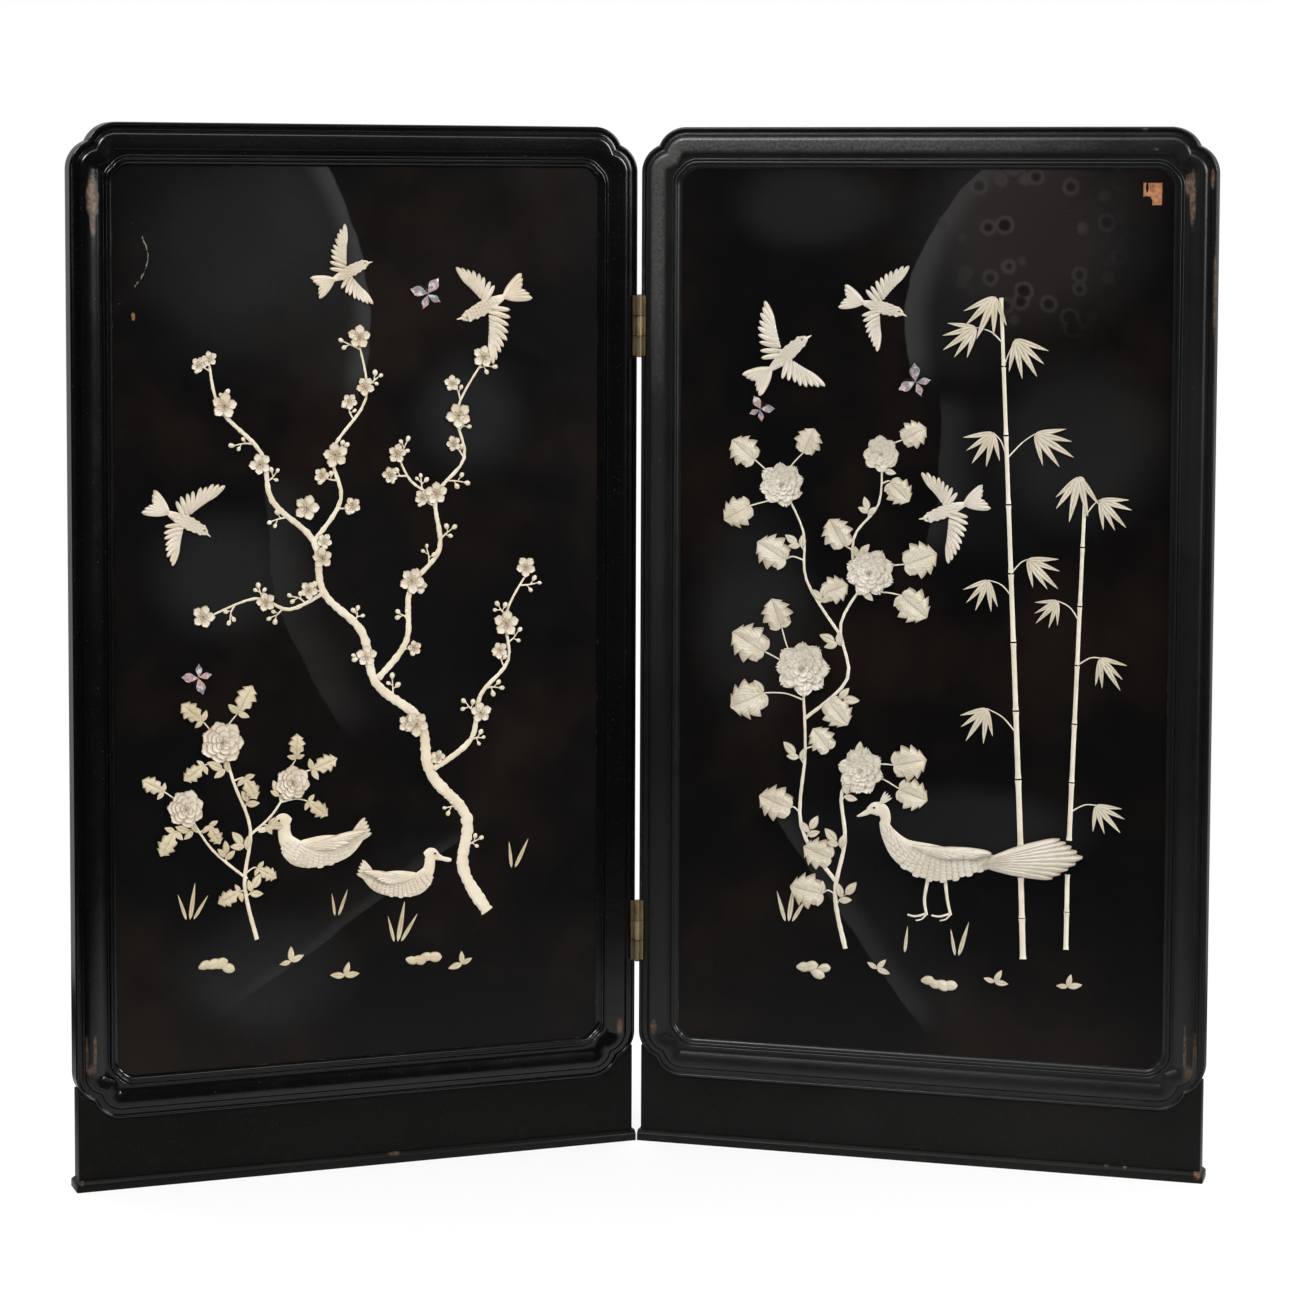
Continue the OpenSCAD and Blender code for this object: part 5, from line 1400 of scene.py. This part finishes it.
def pheasant(rng, x, y):
    lines = [smooth_stroke([(-80, 56, 14), (-70, 34, 26), (-46, 8, 44), (-6, -6, 58), (36, -8, 50), (78, -3, 32),
                            (116, 0, 16)]),
             smooth_stroke([(-106, 72, 10), (-94, 76, 22), (-82, 74, 22), (-76, 62, 17), (-78, 50, 17)]),
             spline([(-124, 62, 0.4, 2.5), (-114, 66, 0.4, 7), (-103, 72, 0.4, 10)], 4)]
    legs_and_toes = (
        ((-4, -34), (-10, -70), (-6, -96), 6), ((-6, -93), (-24, -99), (-38, -97), 4),
        ((24, -34), (28, -68), (34, -94), 6), ((34, -91), (16, -97), (2, -96), 4),
        ((-6, -94), (-14, -103), (-24, -106), 3), ((34, -92), (26, -101), (16, -104), 3))
    lines += [smooth_stroke([(*a, w), (*b, w * 0.85), (*c, w * 0.75)], 4) for a, b, c, w in legs_and_toes]
    feathers = [(84 + 2 * i, -2 + 1.5 * (i - 4), 1.0 + 0.25 * i, -7 + 3.2 * i, 1, 118 + 10 * (4 - abs(i - 4)), 0.42)
                for i in range(9)]
    feathers += feather_rows(rng, (-30, 18), (22, 14), [
        (10, 0, 76, -14, 0, 3.3), (10, 0, 50, -14, 2, 3.9), (9, 0, 28, -16, 2, 4.4)])
    feathers += [(-86, 84, 1.5, 30 + 12 * i, 2, 24, 0.6) for i in range(4)]
    scales = tiles(rng, [(-80, 54, 16), (-66, 28, 26), (-40, 0, 44), (-4, -14, 56), (34, -14, 50), (76, -5, 32),
                         (104, -1, 16)], 8.0, 12.0, 0, 4.0)
    return placed(lines, feathers, scales, (-97, 78, 3.2, 0, 0, 4.4, 1.2), x, y)


def birds(side, flock):
    lines, feathers, scales, eyes = ([p for bird in flock for p in bird[k]] for k in range(4))
    assemble(side + "_birds", side, [
        strokes(lines, bone[side], 4.0, 0.0, 1.0, 1.3), lay("feather", feathers, feather_bone[side], 0.8),
        lay("scale", scales, feather_bone[side], 0.9), lay("bud", eyes, horn, 0.8)], side + "_inlay_birds")


rng = random.Random(5)
birds("left", [
    duck(rng, -80, -384, 1, False), duck(rng, 72, -446, 0.86, True),
    flying_bird(rng, 210, 500, 1, 205), flying_bird(rng, -20, 556, 0.8, 24), flying_bird(rng, -290, 160, 0.9, 330)])
birds("right", [
    pheasant(rng, 22, -400), flying_bird(rng, -226, 420, 1, 40), flying_bird(rng, -70, 500, 0.86, 344),
    flying_bird(rng, 42, 172, 0.9, 200)])

# %% Moths of pearl shell
def moths(side, places):
    wings, lines = [], []
    for place in places:
        wings += moved([(0, 1, 0.6, 34, 2, 31, 1.0), (0, 1, 0.6, 146, 2, 31, 1.0),
                        (0, -1, 0.3, -50, 1, 24, 0.9), (0, -1, 0.3, 230, 1, 24, 0.9)], *place)
        body = spline([(0, 9, 0.6, 2.6), (0, 3, 0.6, 4.2), (0, -10, 0.6, 1.6)], 5)
        feelers = [[(0, 9, 0.5, 1.0), (lean * 4, 15, 0.5, 0.8), (lean * 8, 19, 0.5, 0.8)] for lean in (-1, 1)]
        lines += [moved(line, *place, stroke=True) for line in (body, *feelers)]
    return assemble(side + "_moths", side, [
        lay("wing_shell", wings, pearl), strokes(lines, horn, 2.0, 0, 1.0, 1.0)], side + "_inlay_pearl")


moths("left", [(112, 520, 1, 20), (-270, -90, 0.9, 140)])
moths("right", [(-10, 380, 1, 60), (-270, 330, 0.8, 330)])
for template in blades.values():
    bpy.data.objects.remove(template)

# %% [markdown]
# The picture was taken from a little above the middle, slightly left of the hinge, with a long lens.
# The floor and the space behind are pale. The lights are wide and soft and stand high and to the
# sides, so that the flat boards stay dark while the rolls of the frame catch a long bright line.

# %% Camera
camera_data = bpy.data.cameras.new("camera")
camera = in_scene("camera", camera_data)
CAMERA_AT = (-0.2441, -5.7053, 1.5952)
VIEW_YAW, VIEW_PITCH, VIEW_ROLL = 0.0436, -0.0721, 0.0039
camera_data.sensor_width, camera_data.lens, camera_data.shift_y = 36.0, 98.28, -0.155
ahead = Vector((sin(VIEW_YAW) * cos(VIEW_PITCH), cos(VIEW_YAW) * cos(VIEW_PITCH), sin(VIEW_PITCH)))
level_right = Vector((cos(VIEW_YAW), -sin(VIEW_YAW), 0))
level_up = level_right.cross(ahead)
right = level_right * cos(VIEW_ROLL) + level_up * sin(VIEW_ROLL)
up = right.cross(ahead)
camera.matrix_world = Matrix.Translation(CAMERA_AT) @ Matrix((
    (right.x, up.x, -ahead.x, 0), (right.y, up.y, -ahead.y, 0), (right.z, up.z, -ahead.z, 0), (0, 0, 0, 1)))
camera_data.clip_end = 200.0
bpy.context.scene.camera = camera
print("camera at", [round(v, 3) for v in camera.location])

# %% Floor, lights and background
def floor_finish(b):
    coords = b.coords()
    return ({"Base Color": b.blend(b.noise(coords, 1.2), srgb(250, 250, 250), srgb(246, 246, 246)), "Roughness": 0.7,
             "Specular IOR Level": 0.1}, [])


def fade_to_white(material):
    """The paper turns to plain white towards its border, and shows only part of its shade to the camera."""
    b = Bench(material.node_tree)
    x, y, _ = split(b, b.coords())
    far = b.math("SQRT", x * x + y * y)
    seen, glossy = b.rays()
    white = b.add("ShaderNodeEmission", None, {"Color": (1, 1, 1, 1), "Strength": 1.0})
    shader = Wire(b, material.node_tree.nodes["Principled BSDF"].outputs[0])
    black = b.add("ShaderNodeEmission", None, {"Color": (0, 0, 0, 1), "Strength": 0.0})
    mirrored = glossy * (0.25 + 0.75 * b.ramp(far, 0.4, 1.8))
    shader = b.add("ShaderNodeMixShader", None, {0: mirrored, 1: shader, 2: black})
    mixed = b.add("ShaderNodeMixShader", None, {0: seen * (0.55 + 0.45 * b.ramp(far, 1.1, 1.9)), 1: shader, 2: white})
    material.node_tree.links.new(mixed.socket, material.node_tree.nodes["Material Output"].inputs[0])
    return material


FLOOR_R, FLOOR_SIDES = 2.0, 64
floor_rim = bow(0, 0, FLOOR_R, 0, 360, FLOOR_SIDES)[:-1]
floor_mesh = new_mesh("floor", [(x, y, 0) for x, y in floor_rim], (), [tuple(range(FLOOR_SIDES))])
floor = new_object("floor", floor_mesh, fade_to_white(finish_of("floor_paper", floor_finish)))

world = bpy.data.worlds.new("studio")
bpy.context.scene.world = world
world.use_nodes = True
studio = Bench(world.node_tree)
world.node_tree.nodes.clear()
AMBIENT = 0.32
seen, glossy = studio.rays()
_, toward, _ = split(studio, studio.add("ShaderNodeTexCoord"))
behind = studio.ramp(toward, -0.2, 0.3)
level = studio.math("MAXIMUM", seen, glossy * (0.03 + behind * 0.3))
level = studio.math("MAXIMUM", level, (1.0 - glossy) * (1.0 - seen) * AMBIENT)
background = studio.add("ShaderNodeBackground", None, {"Color": (1, 1, 1, 1), "Strength": level})
output = world.node_tree.nodes.new("ShaderNodeOutputWorld")
world.node_tree.links.new(background.socket, output.inputs[0])

SOFTBOXES = {  # place, aim, size and power
    "key_left": ((-3.0, -3.0, 4.6), (0, 0.1, 0.9), (1.6, 1.6), 190),
    "fill_right": ((4.6, -2.6, 3.0), (0, 0.1, 0.9), (1.8, 2.2), 230),
    "top_strip": ((0, -1.8, 4.6), (0, 0.2, 0.8), (4.0, 1.0), 45),
    "floor_wash": ((0, 3.5, 5.5), (0, 2.0, 0), (8.0, 5.0), 420),
}
for name, (place, aim, size, power) in SOFTBOXES.items():
    light = bpy.data.lights.new(name, "AREA")
    light.shape, light.size, light.size_y, light.energy = "RECTANGLE", *size, power
    lamp = in_scene(name, light)
    lamp.location = place
    lamp.rotation_euler = (Vector(aim) - Vector(place)).to_track_quat("-Z", "Y").to_euler()
bpy.context.scene.view_settings.view_transform = "Standard"
